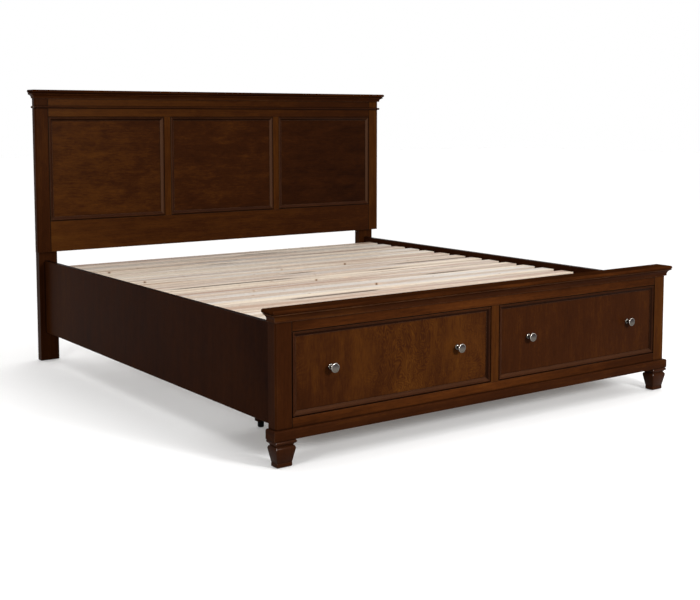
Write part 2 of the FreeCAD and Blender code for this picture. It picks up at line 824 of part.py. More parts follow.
def footboard_feet():
    """Moulded feet, each the common part of one outline seen from the front and one seen from the side."""
    front_outline = both_halves(foot_section(s.foot_width / 2))
    side_outline = both_halves(foot_section(s.foot_depth / 2))
    reach = s.foot_width / 2 + s.foot_bead_root_reach + s.foot_bead_bulge + s.foot_cut_overrun
    glides = []
    for name, side in sides:
        label = f"footboard_{name}_foot"
        x = side * (footboard_width / 2 - s.foot_inset)
        y = front + s.foot_setback
        seen_front = extrusion(f"{label}_front", "Y", front_outline, 2 * reach, x, y - reach, zero)
        seen_side = extrusion(f"{label}_side", "X", side_outline, 2 * reach, x - reach, y, zero)
        foot = document.addObject("Part::MultiCommon", f"{label}_common")
        foot.Shapes = [seen_front, seen_side]
        keep(label, foot)
        glides.append(rod(f"{label}_glide", s.nail_glide_radius, s.nail_glide_thickness, x, y, zero))
    for name, side in sides:
        x = side * (leg_outer - s.headboard_leg_width / 2)
        y = leg_front + s.headboard_leg_thickness / 2
        glides.append(rod(f"headboard_{name}_glide", s.nail_glide_radius, s.nail_glide_thickness, x, y, zero))
    group("nail_glides", glides)


# Side rails with their hooked plates and cleats

def hook_levels():
    """Undersides of the two hooks of a plate."""
    middle = s.side_rail_underside + s.side_rail_height / 2
    half = s.hook_plate_height / 2
    return (middle - half + s.hook_end_distance,
            middle + half - s.hook_end_distance - s.hook_height)


def hook_slots(label, side, face, inward):
    """Slots in a post or leg for the hooks, from its face at y = face towards inward."""
    x = side * (s.inner_width / 2 + s.side_rail_thickness / 2)
    play = s.hook_slot_play
    depth = s.hook_reach + play
    width = s.hook_thickness + 2 * play
    y = face if inward > 0 else face - depth
    return [
        block(f"{label}_slot_{index}", width, depth, s.hook_height + 2 * play, x - width / 2, y, level - play)
        for index, level in enumerate(hook_levels())
    ]


def side_rails():
    """Tall side rails, mortised at both ends for the hooked plates."""
    plates = []
    play = s.hook_plate_play
    plate_low = s.side_rail_underside + (s.side_rail_height - s.hook_plate_height) / 2
    for name, side in sides:
        label = f"{name}_side_rail"
        x = side * s.inner_width / 2 - (s.side_rail_thickness if side < 0 else zero)
        middle = side * (s.inner_width / 2 + s.side_rail_thickness / 2)
        body = board(f"{label}_body", "Y", s.side_rail_thickness, s.side_rail_length, s.side_rail_height,
                     x, rail_start, s.side_rail_underside)
        mortises = []
        for end, face, inward in (("foot", rail_start, 1), ("head", leg_front, -1)):
            sunk = s.hook_plate_thickness
            y = face if inward > 0 else face - sunk
            mortises.append(block(f"{label}_{end}_mortise", s.hook_plate_width + 2 * play, sunk,
                                  s.hook_plate_height + 2 * play, middle - s.hook_plate_width / 2 - play,
                                  y, plate_low - play))
            plates.append(hook_plate(f"{label}_{end}_plate", middle, face, inward, plate_low))
        keep(label, cut(label, body, mortises))
    group("rail_hook_plates", plates)
    cleats = []
    for name, side in sides:
        x = side * s.inner_width / 2 - (s.cleat_width if side > 0 else zero)
        cleats.append(board(f"{name}_slat_cleat", "Y", s.cleat_width, s.side_rail_length, s.cleat_height,
                            x, rail_start, slat_underside - s.cleat_height))
    group("slat_cleats", cleats)


def hook_plate(name, middle, face, inward, low):
    """One steel plate with two hooks that drop into the slots of the post or leg."""
    sunk = s.hook_plate_thickness
    plate = block(f"{name}_base", s.hook_plate_width, sunk, s.hook_plate_height,
                  middle - s.hook_plate_width / 2, face if inward > 0 else face - sunk, low)
    root = s.hook_height - s.hook_root_height
    pieces = [plate]
    for index, level in enumerate(hook_levels()):
        outline = [
            (zero, root), (-inward * s.hook_tongue_setback, root), (-inward * s.hook_tongue_setback, zero),
            (-inward * s.hook_reach, zero), (-inward * s.hook_reach, s.hook_height), (zero, s.hook_height),
        ]
        pieces.append(extrusion(f"{name}_hook_{index}", "X", outline, s.hook_thickness,
                                middle - s.hook_thickness / 2, face, level))
    return fused(name, pieces)


# Slats and their middle support

def slat_deck():
    """Cross slats laid on the cleats, the middle beam under them and its legs."""
    length = s.inner_width - 2 * s.slat_end_play
    first = rail_start + s.first_slat_gap
    last = headboard_front - s.last_slat_gap - s.slat_width
    pitch = (last - first) / (slat_count - 1)
    slats = []
    for index in range(slat_count):
        slats.append(board(f"slat_{index + 1}", "X", length, s.slat_width, s.slat_thickness,
                           -length / 2, first + index * pitch, slat_underside))
    group("slats", slats)

    beam_start = case_back + s.case_back_thickness
    beam_length = headboard_front - s.beam_head_gap - beam_start
    beam_underside = slat_underside - s.beam_height
    keep("centre_beam", board("centre_beam", "Y", s.beam_width, beam_length, s.beam_height,
                              -s.beam_width / 2, beam_start, beam_underside))
    legs = []
    places = []
    side = s.beam_leg_side
    step = (beam_length - 2 * s.beam_leg_inset - side) / (beam_leg_count - 1)
    for index in range(beam_leg_count):
        y = beam_start + s.beam_leg_inset + index * step
        legs.append(board(f"beam_leg_{index + 1}", "Z", side, side, beam_underside - s.glide_height,
                          -side / 2, y, s.glide_height))
        places.append((zero, y + side / 2))
    group("centre_beam_legs", legs)
    return places


# Drawer case

def drawer_case():
    """Side and divider panels that carry the slides, the back board and its legs."""
    low = s.case_underside
    side_height = slat_underside - s.cleat_height - s.case_side_gap - low
    for name, side in sides:
        x = side * opening_outer - (s.case_side_thickness if side < 0 else zero)
        label = f"case_{name}_side"
        keep(label, block(label, s.case_side_thickness, case_back - rail_start, side_height,
                          x, rail_start, low))
    divider_start = front + s.face_frame_thickness
    keep("case_divider", block("case_divider", s.centre_stile_width, case_back - divider_start,
                               slat_underside - low, -s.centre_stile_width / 2, divider_start, low))

    # the back board is notched round the cleats
    half, height = opening_outer + s.case_side_thickness, slat_underside - low
    notch_x = s.inner_width / 2 - s.cleat_width - s.cleat_notch_play
    notch_z = height - s.cleat_height - s.cleat_notch_play
    outline = both_halves([(half, zero), (half, notch_z), (notch_x, notch_z), (notch_x, height)])
    keep("case_back_board", extrusion("case_back_board", "Y", outline, s.case_back_thickness,
                                      zero, case_back, low))
    legs = []
    places = []
    for side in (-1, 1):
        for offset in (opening_outer - s.case_outer_leg_inset, s.case_inner_leg_offset):
            middle = side * offset
            y = case_back - s.case_leg_depth
            legs.append(board(f"case_leg_{len(legs) + 1}", "Z", s.case_leg_width, s.case_leg_depth,
                              s.case_leg_height, middle - s.case_leg_width / 2, y, s.glide_height))
            places.append((middle, y + s.case_leg_depth / 2))
    group("case_legs", legs)
    return places


def support_glides(places):
    """Round plastic glides under the support legs."""
    group("support_glides", [
        rod(f"support_glide_{index + 1}", s.glide_radius, s.glide_height, x, y, zero)
        for index, (x, y) in enumerate(places)
    ])


# Slides: three channels, each nested in the next with a running gap

def channel(half_height, reach, thickness, start, facing):
    """A channel's outline: its web at start, its flanges reaching towards facing."""
    web = start + facing * thickness
    tip = start + facing * reach
    return [
        (start, -half_height), (tip, -half_height), (tip, thickness - half_height),
        (web, thickness - half_height), (web, half_height - thickness), (tip, half_height - thickness),
        (tip, half_height), (start, half_height),
    ]


def slides():
    """Outer members on the case, middle members between and inner members on the drawer sides."""
    gap = s.slide_running_gap
    outer_half = s.slide_height / 2
    middle_half = outer_half - s.slide_outer_thickness - gap
    inner_half = middle_half - s.slide_middle_thickness - gap
    outer_reach = s.slide_space - s.slide_outer_tip_gap
    middle_start = s.slide_outer_thickness + gap
    middle_reach = s.slide_space - middle_start - s.slide_middle_tip_gap
    inner_reach = s.slide_space - middle_start - s.slide_middle_thickness - gap
    z = drawer_box_low + s.slide_rise
    fixed = []
    for name, side in sides:
        middles = []
        inners = []
        for place, wall, facing in (("outer", side * opening_outer, -side),
                                    ("inner", side * s.centre_stile_width / 2, side)):
            stem = f"{name}_drawer_{place}"
            fixed.append(extrusion(
                f"{stem}_slide_case_member", "Y",
                channel(outer_half, outer_reach, s.slide_outer_thickness, zero, facing),
                s.slide_length, wall, slide_front, z))
            middles.append(extrusion(
                f"{stem}_slide_middle_member", "Y",
                channel(middle_half, middle_reach, s.slide_middle_thickness, facing * middle_start, facing),
                s.slide_length, wall, slide_front, z))
            inners.append(extrusion(
                f"{stem}_slide_drawer_member", "Y",
                channel(inner_half, inner_reach, s.slide_middle_thickness, facing * s.slide_space, -facing),
                s.slide_length, wall, slide_front, z))
        group(f"{name}_drawer_slide_middle_members", middles)
        group(f"{name}_drawer_slide_inner_members", inners)
    group("case_slide_members", fixed)


# Drawers

def drawers():
    """Both drawers: a moulded front, a grooved box, a bottom panel and two knobs each."""
    reveal = s.drawer_reveal
    front_width = opening_width - 2 * reveal
    front_height = opening_height - 2 * reveal
    front_low = s.drawer_opening_underside + reveal
    panel_y, box_y, box_low = drawer_panel_front, drawer_box_front, drawer_box_low
    box_width = opening_width - 2 * s.slide_space
    box_length = s.slide_length - s.drawer_box_shortfall
    side_thickness = s.drawer_side_thickness
    side_height = slat_underside - s.drawer_head_room - box_low
    groove_low = s.drawer_bottom_rise
    groove_high = groove_low + s.drawer_bottom_thickness + s.drawer_bottom_play
    groove = s.drawer_groove_depth
    section = ogee(s.drawer_moulding_width, s.drawer_moulding_thickness)
    for name, side in sides:
        inner = side * s.centre_stile_width / 2
        low_x = inner if side > 0 else -opening_outer
        centre = low_x + opening_width / 2
        stem = f"{name}_drawer"

        # the front board is grooved on its back for the bottom
        thickness = s.drawer_front_thickness
        floor = box_low - front_low
        outline = [
            (zero, zero), (thickness, zero), (thickness, floor + groove_low),
            (thickness - groove, floor + groove_low), (thickness - groove, floor + groove_high),
            (thickness, floor + groove_high), (thickness, front_height), (zero, front_height),
        ]
        body = extrusion(f"{stem}_front_body", "X", outline, front_width, low_x + reveal, panel_y, front_low)
        knob_z = front_low + s.knob_rise
        holes = []
        knobs = []
        screws = []
        for place in (-1, 1):
            x = centre + place * s.knob_spacing / 2
            mark = f"{stem}_knob_{len(knobs) + 1}"
            hole_radius = s.knob_screw_radius + s.knob_screw_play
            holes.append(rod(f"{mark}_hole", hole_radius, thickness, x, panel_y, knob_z, "Y"))
            knobs.append(knob(mark, x, panel_y, knob_z))
            screws.append(knob_screw(f"{mark}_screw", x, box_y, knob_z))
        keep(f"{stem}_front", cut(f"{stem}_front", body, holes))
        group(f"{stem}_knobs", knobs)
        group(f"{stem}_knob_screws", screws)
        strips = moulding_frame(section, s.drawer_moulding_width.value, front_width.value, front_height.value)
        feature(f"{stem}_front_moulding", strips, low_x + reveal, panel_y, front_low)

        side_outline = [
            (zero, zero), (side_thickness, zero), (side_thickness, groove_low),
            (side_thickness - groove, groove_low), (side_thickness - groove, groove_high),
            (side_thickness, groove_high), (side_thickness, side_height), (zero, side_height),
        ]
        box_x = low_x + s.slide_space
        left = extrusion(f"{stem}_left_side", "Y", side_outline, box_length, box_x, box_y, box_low)
        right = extrusion(f"{stem}_right_side", "Y", mirrored(side_outline), box_length,
                          box_x + box_width, box_y, box_low)
        group(f"{stem}_sides", [left, right])
        inner_width = box_width - 2 * side_thickness
        keep(f"{stem}_back", block(f"{stem}_back", inner_width, side_thickness, side_height - groove_high,
                                   box_x + side_thickness, box_y + box_length - side_thickness,
                                   box_low + groove_high))
        play = s.drawer_bottom_play
        keep(f"{stem}_bottom", block(f"{stem}_bottom", inner_width + 2 * (groove - play),
                                     box_length + groove - play, s.drawer_bottom_thickness,
                                     box_x + side_thickness - groove + play, box_y - groove + play,
                                     box_low + groove_low + play / 2))


def knob(name, x, y, z):
    """A turned knob: a coned foot, a neck that flares to a flat round head, bored for its screw."""
    bore, depth = s.knob_screw_radius + s.knob_screw_play, s.knob_screw_bite + s.knob_bore_spare
    base, neck, rim = s.knob_base_radius, s.knob_neck_radius, s.knob_head_radius
    length = s.knob_length
    head_back = length - s.knob_head_thickness
    outline = [
        (bore, zero), (base, zero), (neck, -s.knob_base_slope), (neck, s.knob_flare_length - head_back),
        (rim, -head_back), (rim, -length), (zero, -length), (zero, -depth), (bore, -depth),
    ]
    return turned(name, outline, x, y, z)


def knob_screw(name, x, y, z):
    """The screw that holds a knob from inside the drawer, with a flat round head."""
    reach = s.drawer_front_thickness + s.knob_screw_bite
    shank, head, height = s.knob_screw_radius, s.knob_screw_head_radius, s.knob_screw_head_height
    outline = [
        (zero, -reach), (shank, -reach), (shank, zero), (head, zero), (head, height), (zero, height),
    ]
    return turned(name, outline, x, y, z)


headboard_frame()
headboard_panel_mouldings(*headboard_panels())
headboard_mouldings()
headboard_legs()
footboard_frame()
footboard_mouldings()
footboard_feet()
side_rails()
support_glides(slat_deck() + drawer_case())
slides()
drawers()
document.recompute()

# Every object has to be sound before anything is written
for thing in document.Objects:
    if "Invalid" in thing.State or "Error" in thing.State:
        raise RuntimeError(f"{thing.Name} did not build")
for label, thing in nodes.items():
    if thing.Shape.isNull() or not thing.Shape.isValid() or not thing.Shape.Solids:
        raise RuntimeError(f"{label} has no sound shape")

os.makedirs("parts", exist_ok=True)
for label, thing in nodes.items():
    thing.Shape.exportStep(f"parts/{label}.step")
    print(label, len(thing.Shape.Solids), "solids")
print(len(nodes), "sub-parts")
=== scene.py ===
import json
import math
import bmesh
import bpy
import numpy as np
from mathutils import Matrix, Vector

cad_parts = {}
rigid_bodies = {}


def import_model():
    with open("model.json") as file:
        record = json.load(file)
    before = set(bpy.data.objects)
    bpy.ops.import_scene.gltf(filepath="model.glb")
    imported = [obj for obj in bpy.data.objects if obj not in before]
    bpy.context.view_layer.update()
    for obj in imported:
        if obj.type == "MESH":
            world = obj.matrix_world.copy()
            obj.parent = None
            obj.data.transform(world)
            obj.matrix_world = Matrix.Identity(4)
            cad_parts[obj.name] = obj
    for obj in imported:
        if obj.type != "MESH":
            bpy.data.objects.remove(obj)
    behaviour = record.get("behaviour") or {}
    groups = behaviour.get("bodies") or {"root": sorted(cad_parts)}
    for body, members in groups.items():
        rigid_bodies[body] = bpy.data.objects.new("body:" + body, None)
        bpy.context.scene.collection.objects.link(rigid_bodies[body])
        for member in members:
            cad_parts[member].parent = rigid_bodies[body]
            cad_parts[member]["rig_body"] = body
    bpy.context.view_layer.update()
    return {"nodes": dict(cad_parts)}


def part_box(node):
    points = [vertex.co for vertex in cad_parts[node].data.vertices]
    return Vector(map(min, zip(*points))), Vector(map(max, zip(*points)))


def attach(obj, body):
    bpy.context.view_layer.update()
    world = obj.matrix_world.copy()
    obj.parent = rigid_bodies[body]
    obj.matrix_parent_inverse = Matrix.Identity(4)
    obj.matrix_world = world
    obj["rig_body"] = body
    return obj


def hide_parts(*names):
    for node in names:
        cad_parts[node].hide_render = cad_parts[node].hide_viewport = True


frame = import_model()
nodes = frame["nodes"]
print("frame loaded with", len(nodes), "nodes")


# Shader maths in Python: a Wire is one socket, and an expression on wires adds the nodes

class Wire:
    def __init__(self, graph, socket):
        self.graph = graph
        self.socket = socket

    def __add__(self, other):
        return self.graph.math("ADD", self, other)

    def __sub__(self, other):
        return self.graph.math("SUBTRACT", self, other)

    def __rsub__(self, other):
        return self.graph.math("SUBTRACT", other, self)

    def __mul__(self, other):
        return self.graph.math("MULTIPLY", self, other)

    def __truediv__(self, other):
        return self.graph.math("DIVIDE", self, other)

    __radd__ = __add__
    __rmul__ = __mul__


def pickSocket(sockets, key):
    if isinstance(key, int):
        return sockets[key]
    return next(socket for socket in sockets if key in (socket.identifier, socket.name))


class Graph:
    def __init__(self, tree):
        self.tree = tree
        tree.nodes.clear()

    # any node: its type, its settings, which are set first, and the values or wires of its sockets
    def add(self, kind, settings=None, sockets=None, output=0):
        node = self.tree.nodes.new(kind)
        for name, value in (settings or {}).items():
            if name == "stops":
                self.setStops(node.color_ramp, value)
            else:
                setattr(node, name, value)
        for key, value in (sockets or {}).items():
            socket = pickSocket(node.inputs, key)
            if isinstance(value, Wire):
                self.tree.links.new(value.socket, socket)
            elif socket.type == "RGBA":
                socket.default_value = (*value, 1.0)
            else:
                socket.default_value = value
        return Wire(self, pickSocket(node.outputs, output)) if node.outputs else node

    def setStops(self, ramp, stops):
        while len(ramp.elements) < len(stops):
            ramp.elements.new(1.0)
        for element, (place, colour) in zip(ramp.elements, stops):
            element.position = place
            element.color = (*colour, 1.0)

    def math(self, operation, *values):
        return self.add("ShaderNodeMath", {"operation": operation}, dict(enumerate(values)))

    def vector(self, operation, *values, output=0):
        return self.add("ShaderNodeVectorMath", {"operation": operation}, dict(enumerate(values)), output)

    # one number out of a vector
    def part(self, vector, axis):
        return self.add("ShaderNodeSeparateXYZ", None, {0: vector}, axis)

    # where the surface lies in the piece's own space
    def place(self):
        return self.add("ShaderNodeTexCoord", None, None, "Object")

    # where the surface looks
    def facing(self):
        return self.add("ShaderNodeNewGeometry", None, None, "Normal")

    # a soft step from start to end as value goes from low to high
    def between(self, value, low, high, start=0.0, end=1.0):
        ranges = {"Value": value, "From Min": low, "From Max": high, "To Min": start, "To Max": end}
        return self.add("ShaderNodeMapRange", {"interpolation_type": "SMOOTHSTEP"}, ranges)

    def blendColours(self, amount, first, second):
        sockets = {"Factor_Float": amount, "A_Color": first, "B_Color": second}
        return self.add("ShaderNodeMix", {"data_type": "RGBA"}, sockets, "Result_Color")

    # a colour with another laid over it, from start to end as value goes over the span
    def cover(self, colour, other, value, span, end=1.0, start=0.0):
        return self.blendColours(self.between(value, *span, start, end), colour, other)

    # noise on a point that is first multiplied by scales, lumps per metre along each of its axes
    def noise(self, point, scales, detail=2.0, rough=0.5, twist=0.0, shift=(0.0, 0.0, 0.0)):
        spread = self.vector("MULTIPLY_ADD", point, scales, shift)
        sockets = {"Vector": spread, "Scale": 1.0, "Detail": detail, "Roughness": rough}
        return self.add("ShaderNodeTexNoise", None, {**sockets, "Distortion": twist}, "Fac")

    # a number from 0 to 1 that is drawn for each whole number
    def chance(self, number):
        return self.add("ShaderNodeTexWhiteNoise", {"noise_dimensions": "1D"}, {"W": number}, "Value")

    def bump(self, height, look):
        sockets = {"Strength": look["bumpStrength"], "Distance": look["bumpDepth"], "Height": height}
        return self.add("ShaderNodeBump", None, sockets, "Normal")


# a noise lies about a half, so this sways a value both ways by up to half the amount
def sway(noise, amount):
    return (noise - 0.5) * amount


# the point that a pattern is worked out on, with the grain along its first axis; strips and turned
# pieces have their own as an attribute
def grainPoint(graph, grain):
    if grain == "own":
        return graph.add("ShaderNodeAttribute", {"attribute_name": "grain"}, None, "Vector")
    point = graph.place()
    parts = [graph.part(point, axis) for axis in "XYZ"]
    order = {"X": (0, 1, 2), "Y": (1, 0, 2), "Z": (2, 0, 1)}[grain]
    return graph.add("ShaderNodeCombineXYZ", None, dict(enumerate(parts[index] for index in order)))


finishes = {}


def newMaterial(name):
    material = bpy.data.materials.new(name)
    material.use_nodes = True
    finishes[name] = material
    return Graph(material.node_tree)


def closeMaterial(graph, sockets):
    surface = graph.add("ShaderNodeBsdfPrincipled", None, sockets)
    graph.add("ShaderNodeOutputMaterial", None, {"Surface": surface})


# Stained wood under satin lacquer: the patterns set how much stain the wood took
stain = {
    # the glaze, which also serves as painted shade in corners and on faces that look away from the light
    "glaze": (0.0030, 0.0012, 0.0008),
    "deep": (0.0120, 0.0032, 0.0014),
    "brown": (0.034, 0.0094, 0.0025),
    "warm": (0.064, 0.0198, 0.0036),
    "gold": (0.110, 0.041, 0.0065),
    # stain rubbed off, and also the painted highlight on outer edges and lit faces
    "rubbed": (0.160, 0.082, 0.046),
    # the colour of the painted highlight on moulded corners
    "bright": (0.86, 0.78, 0.74),
    "tone": 0.47,          # where the plain wood lies between deep at 0 and gold at 1
    "brownAt": 0.42,
    "warmAt": 0.66,
    "fibres": 0.22,        # how far each pattern moves the tone
    "streaks": 0.34,
    "dashes": 0.24,
    "blotches": 0.30,
    "clouds": 0.34,
    "swirls": 0.0,
    "swirlWaves": 190.0,   # how tightly the curly figure's waves lie
    "swirlSpan": (0.32, 0.60),  # a span is the stretch of a pattern over which something comes in
    "pores": 0.35,         # how deep the open pores look
    "poreSpan": (0.60, 0.72),
    "lean": (0.0, 0.0, 0.0),  # tone that is gained with each metre along X, Y and Z
    "fade": 0.0,           # tone that is lost with each metre away from the bed's middle plane
    "seams": (),           # axis and place of each joint line, where the glaze stays
    "seamSpan": (0.0010, 0.0026),
    "seamGlaze": 0.90,
    "cornerGlazeAndShade": 0.9,         # how much darker corners get, from glaze and painted shade
    "recessSpan": (0.45, 1.0),
    "reach": 0.008,        # how far out of a corner the glaze and painted shade go
    "edges": 0.35,         # how far outer edges are lightened: stain rubbed off, and a painted highlight
    "edgeWidth": 0.0016,
    "edgeSpan": (0.01, 0.16),
    "edgeOpenSpan": (0.72, 0.98),
    "rubbingSpan": (0.30, 0.60),
    "rubbingLeast": 0.45,
    "slopes": (),          # painted light and shade on faces by where they look: axis, colour, span of the normal, share at its ends
    "wear": 0.0,           # how strong the painted highlight on moulded corners is
    "wearSideSpan": (0.10, 0.26),
    "wearUpSpan": (0.10, 0.34),
    "rough": 0.34,
    "specular": 0.02,
    "tint": (1.0, 0.72, 0.52),
    "coat": 0.0,
    "coatRough": 0.16,
    "bumpStrength": 0.25,
    "bumpDepth": 0.0005,
    "seed": 0.0,
}


def stainedWood(name, grain, **changes):
    look = {**stain, **changes}
    graph = newMaterial(name)
    point = grainPoint(graph, grain)
    place = graph.place()
    seed = look["seed"]
    fibres = graph.noise(point, (9.0, 330.0, 330.0), detail=3.0, shift=(seed, seed, 0.0))
    streaks = graph.noise(point, (2.2, 46.0, 46.0), detail=3.0, rough=0.55, twist=0.6,
                          shift=(seed, 1.0, seed))
    dashes = graph.noise(point, (36.0, 170.0, 170.0), twist=0.4, shift=(seed, 2.0, 5.0))
    blotches = graph.noise(point, (9.0, 21.0, 21.0), detail=4.0, rough=0.55, twist=0.5,
                           shift=(1.7, seed, 3.1))
    clouds = graph.noise(point, (1.3, 2.9, 2.9), detail=1.5, twist=0.4, shift=(seed, 4.0, 2.0))
    pores = graph.noise(point, (40.0, 900.0, 900.0), detail=1.0)
    tone = (
        look["tone"]
        + sway(fibres, look["fibres"])
        + sway(streaks, look["streaks"])
        + sway(dashes, look["dashes"])
        + sway(blotches, look["blotches"])
        + sway(clouds, look["clouds"])
    )
    if look["swirls"]:
        # curly figure: fine waves on a bent coordinate, only where a wide noise lets them show
        bend = graph.noise(point, (7.0, 9.0, 9.0), detail=3.0, twist=0.8, shift=(seed, 7.0, 1.0))
        waves = graph.math("SINE", bend * look["swirlWaves"])
        wide = graph.noise(point, (3.0, 3.5, 3.5), detail=1.0, shift=(5.0, seed, 0.0))
        tone = tone + waves * graph.between(wide, *look["swirlSpan"]) * look["swirls"]
    if any(look["lean"]):
        tone = tone + graph.vector("DOT_PRODUCT", place, look["lean"], output="Value")
    if look["fade"]:
        tone = tone - graph.math("ABSOLUTE", graph.part(place, "X")) * look["fade"]
    stops = [
        (0.0, look["deep"]),
        (look["brownAt"], look["brown"]),
        (look["warmAt"], look["warm"]),
        (1.0, look["gold"]),
    ]
    colour = graph.add("ShaderNodeValToRGB", {"stops": stops}, {"Fac": tone}, "Color")
    colour = graph.cover(colour, look["deep"], pores, look["poreSpan"], look["pores"])
    # glaze and painted shade darken the corners, and the glaze stays in joint lines
    openness = graph.add("ShaderNodeAmbientOcclusion", {"samples": 6}, {"Distance": look["reach"]}, "AO")
    glazedAndShaded = graph.between(openness, *look["recessSpan"], look["cornerGlazeAndShade"], 0.0)
    for axis, middle in look["seams"]:
        off = graph.math("ABSOLUTE", graph.part(place, axis) - middle)
        glazedAndShaded = graph.math("MAXIMUM", glazedAndShaded, graph.between(off, *look["seamSpan"], look["seamGlaze"], 0.0))
    colour = graph.blendColours(glazedAndShaded, colour, look["glaze"])
    # an outer edge is where a rounded normal turns away from the true one and nothing shuts it in
    normal = graph.facing()
    rounded = graph.add("ShaderNodeBevel", {"samples": 4}, {"Radius": look["edgeWidth"]}, "Normal")
    apart = 1.0 - graph.vector("DOT_PRODUCT", rounded, normal, output="Value")
    outer = graph.between(apart, *look["edgeSpan"]) * graph.between(openness, *look["edgeOpenSpan"])
    # outer edges are lightened: partly stain rubbed off, partly a painted highlight
    uneven = blotches * 0.6 + streaks * 0.4
    rubbing = graph.between(uneven, *look["rubbingSpan"], look["rubbingLeast"], 1.0)
    colour = graph.blendColours(outer * rubbing * look["edges"], colour, look["rubbed"])
    side = {axis: graph.part(normal, axis) for axis in "XYZ"}
    # painted light and shade on faces that look along an axis
    for axis, shade, *shares in look["slopes"]:
        colour = graph.cover(colour, look[shade], side[axis], *shares)
    if look["wear"]:
        # painted highlight on edges that look up between the front and the left side
        frontLeft = graph.between(side["X"] * side["Y"], *look["wearSideSpan"])
        upward = graph.between(side["Z"], *look["wearUpSpan"])
        colour = graph.blendColours(frontLeft * upward * look["wear"], colour, look["bright"])
    height = fibres * 0.5 + pores * 0.3 + streaks * 0.6
    closeMaterial(graph, {
        "Base Color": colour,
        "Roughness": look["rough"] + sway(blotches, 0.16) + sway(fibres, 0.10),
        "Specular IOR Level": look["specular"],
        "Specular Tint": look["tint"],
        "Coat Weight": look["coat"],
        "Coat Roughness": look["coatRough"],
        "Normal": graph.bump(height, look),
    })


# Planed pine: each slat has its own tone, with growth lines, streaks and knots
pine = {
    "cream": (0.64, 0.545, 0.43),
    "grey": (0.52, 0.475, 0.430),
    "greySpan": (0.40, 0.62),
    "rose": (0.33, 0.210, 0.150),
    "roseSpan": (0.47, 0.68),
    "roseShare": 0.85,     # the most that this tone covers
    "amber": (0.33, 0.180, 0.088),
    "amberSpan": (0.52, 0.74),
    "amberShare": 0.8,
    "pale": (0.68, 0.57, 0.47),  # the sawn edges, paler by their own tone and by painted light
    "sawnPaleAndLit": 0.75,          # how far that tone covers them
    "sawnSpan": (0.5, 0.9),
    "shaded": (0.060, 0.040, 0.028),  # painted gap shadow, low on the sawn edges, in some stretches
    "shadedSpan": (0.52, 0.58),
    "shadedFrom": 0.0045,  # how far under the top it starts
    "shadedSoft": 0.001,
    "knot": (0.17, 0.090, 0.050),
    "knotCells": (5.5, 7.5, 7.5),  # cells per metre that may hold a knot
    "knotSpan": (0.48, 0.50),
    "knotRadius": 0.026,   # as a share of a cell
    "ringSpan": (1.0, 2.6),  # where the amber ring and the dark core fade, in knot radii
    "coreSpan": (0.7, 1.15),
    "ringShare": 0.55,
    "coreShare": 0.9,
    "growthLines": 520.0,  # waves per metre across a slat, times 2 pi
    "growthBend": 60.0,    # how far the slow noise bends them
    "rough": 0.62,
    "specular": 0.25,
    "bumpStrength": 0.35,
    "bumpDepth": 0.0006,
}


def pineSlats(name, firstGap, pitch, top):
    graph = newMaterial(name)
    point = grainPoint(graph, "X")
    across = graph.part(point, "Y")
    level = graph.part(point, "Z")
    # each slat draws two numbers, which shift its patterns and its tone
    number = graph.math("FLOOR", (across - firstGap) / pitch)
    first = graph.chance(number)
    second = graph.chance(number + 31.7)
    jump = graph.add("ShaderNodeCombineXYZ", None, {"X": first * 9.0, "Y": second * 5.0})
    moved = graph.vector("ADD", point, jump)
    fibres = graph.noise(moved, (10.0, 420.0, 420.0), detail=3.0)
    streaks = graph.noise(moved, (1.6, 75.0, 75.0), detail=3.0, rough=0.6, twist=0.3)
    bands = graph.noise(moved, (0.9, 24.0, 24.0), twist=0.8)
    patches = graph.noise(moved, (0.7, 14.0, 14.0), shift=(3.0, 8.0, 1.0))
    # growth lines: waves across the slat that a slow noise bends along it
    bend = graph.noise(moved, (1.1, 9.0, 9.0), detail=1.0)
    lines = graph.math("SINE", across * pine["growthLines"] + bend * pine["growthBend"])
    colour = graph.cover(pine["cream"], pine["grey"], patches, pine["greySpan"])
    rosy = bands + sway(first, 0.22)
    colour = graph.cover(colour, pine["rose"], rosy, pine["roseSpan"], pine["roseShare"])
    golden = streaks + lines * 0.05 + sway(second, 0.12)
    colour = graph.cover(colour, pine["amber"], golden, pine["amberSpan"], pine["amberShare"])
    # the sawn edges are paler: partly their own tone, partly painted light on faces that look along Y
    sideways = graph.math("ABSOLUTE", graph.part(graph.facing(), "Y"))
    sawnPaleAndLit = graph.between(sideways, *pine["sawnSpan"], 0.0, pine["sawnPaleAndLit"])
    colour = graph.blendColours(sawnPaleAndLit, colour, pine["pale"])
    # painted shadow of the gaps between slats, in some stretches
    gapShadowStretch = graph.noise(moved, (1.4, 0.0, 0.0), detail=1.0, shift=(0.0, 3.0, 6.0)) + sway(second, 0.4)
    start = top - pine["shadedFrom"]
    low = graph.between(level, start - pine["shadedSoft"], start, 1.0, 0.0)
    shaded = sawnPaleAndLit * low * graph.between(gapShadowStretch, *pine["shadedSpan"])
    colour = graph.blendColours(shaded, colour, pine["shaded"])
    # knots: now and then a cell of a scattered pattern holds one
    cells = {"Vector": graph.vector("MULTIPLY", moved, pine["knotCells"]), "Scale": 1.0}
    far, pick = (
        graph.add("ShaderNodeTexVoronoi", {"voronoi_dimensions": "2D"}, cells, output)
        for output in ("Distance", "Color")
    )
    red = graph.add("ShaderNodeSeparateColor", None, {0: pick}, "Red")
    picked = graph.between(red, *pine["knotSpan"])
    for span, share, tone in (("ringSpan", "ringShare", "amber"), ("coreSpan", "coreShare", "knot")):
        start, end = (pine["knotRadius"] * radii for radii in pine[span])
        covered = graph.between(far, start, end, pine[share], 0.0) * picked
        colour = graph.blendColours(covered, colour, pine[tone])
    height = fibres * 0.6 + streaks * 0.8
    closeMaterial(graph, {
        "Base Color": colour,
        "Roughness": pine["rough"] + sway(streaks, 0.2),
        "Specular IOR Level": pine["specular"],
        "Normal": graph.bump(height, pine),
    })


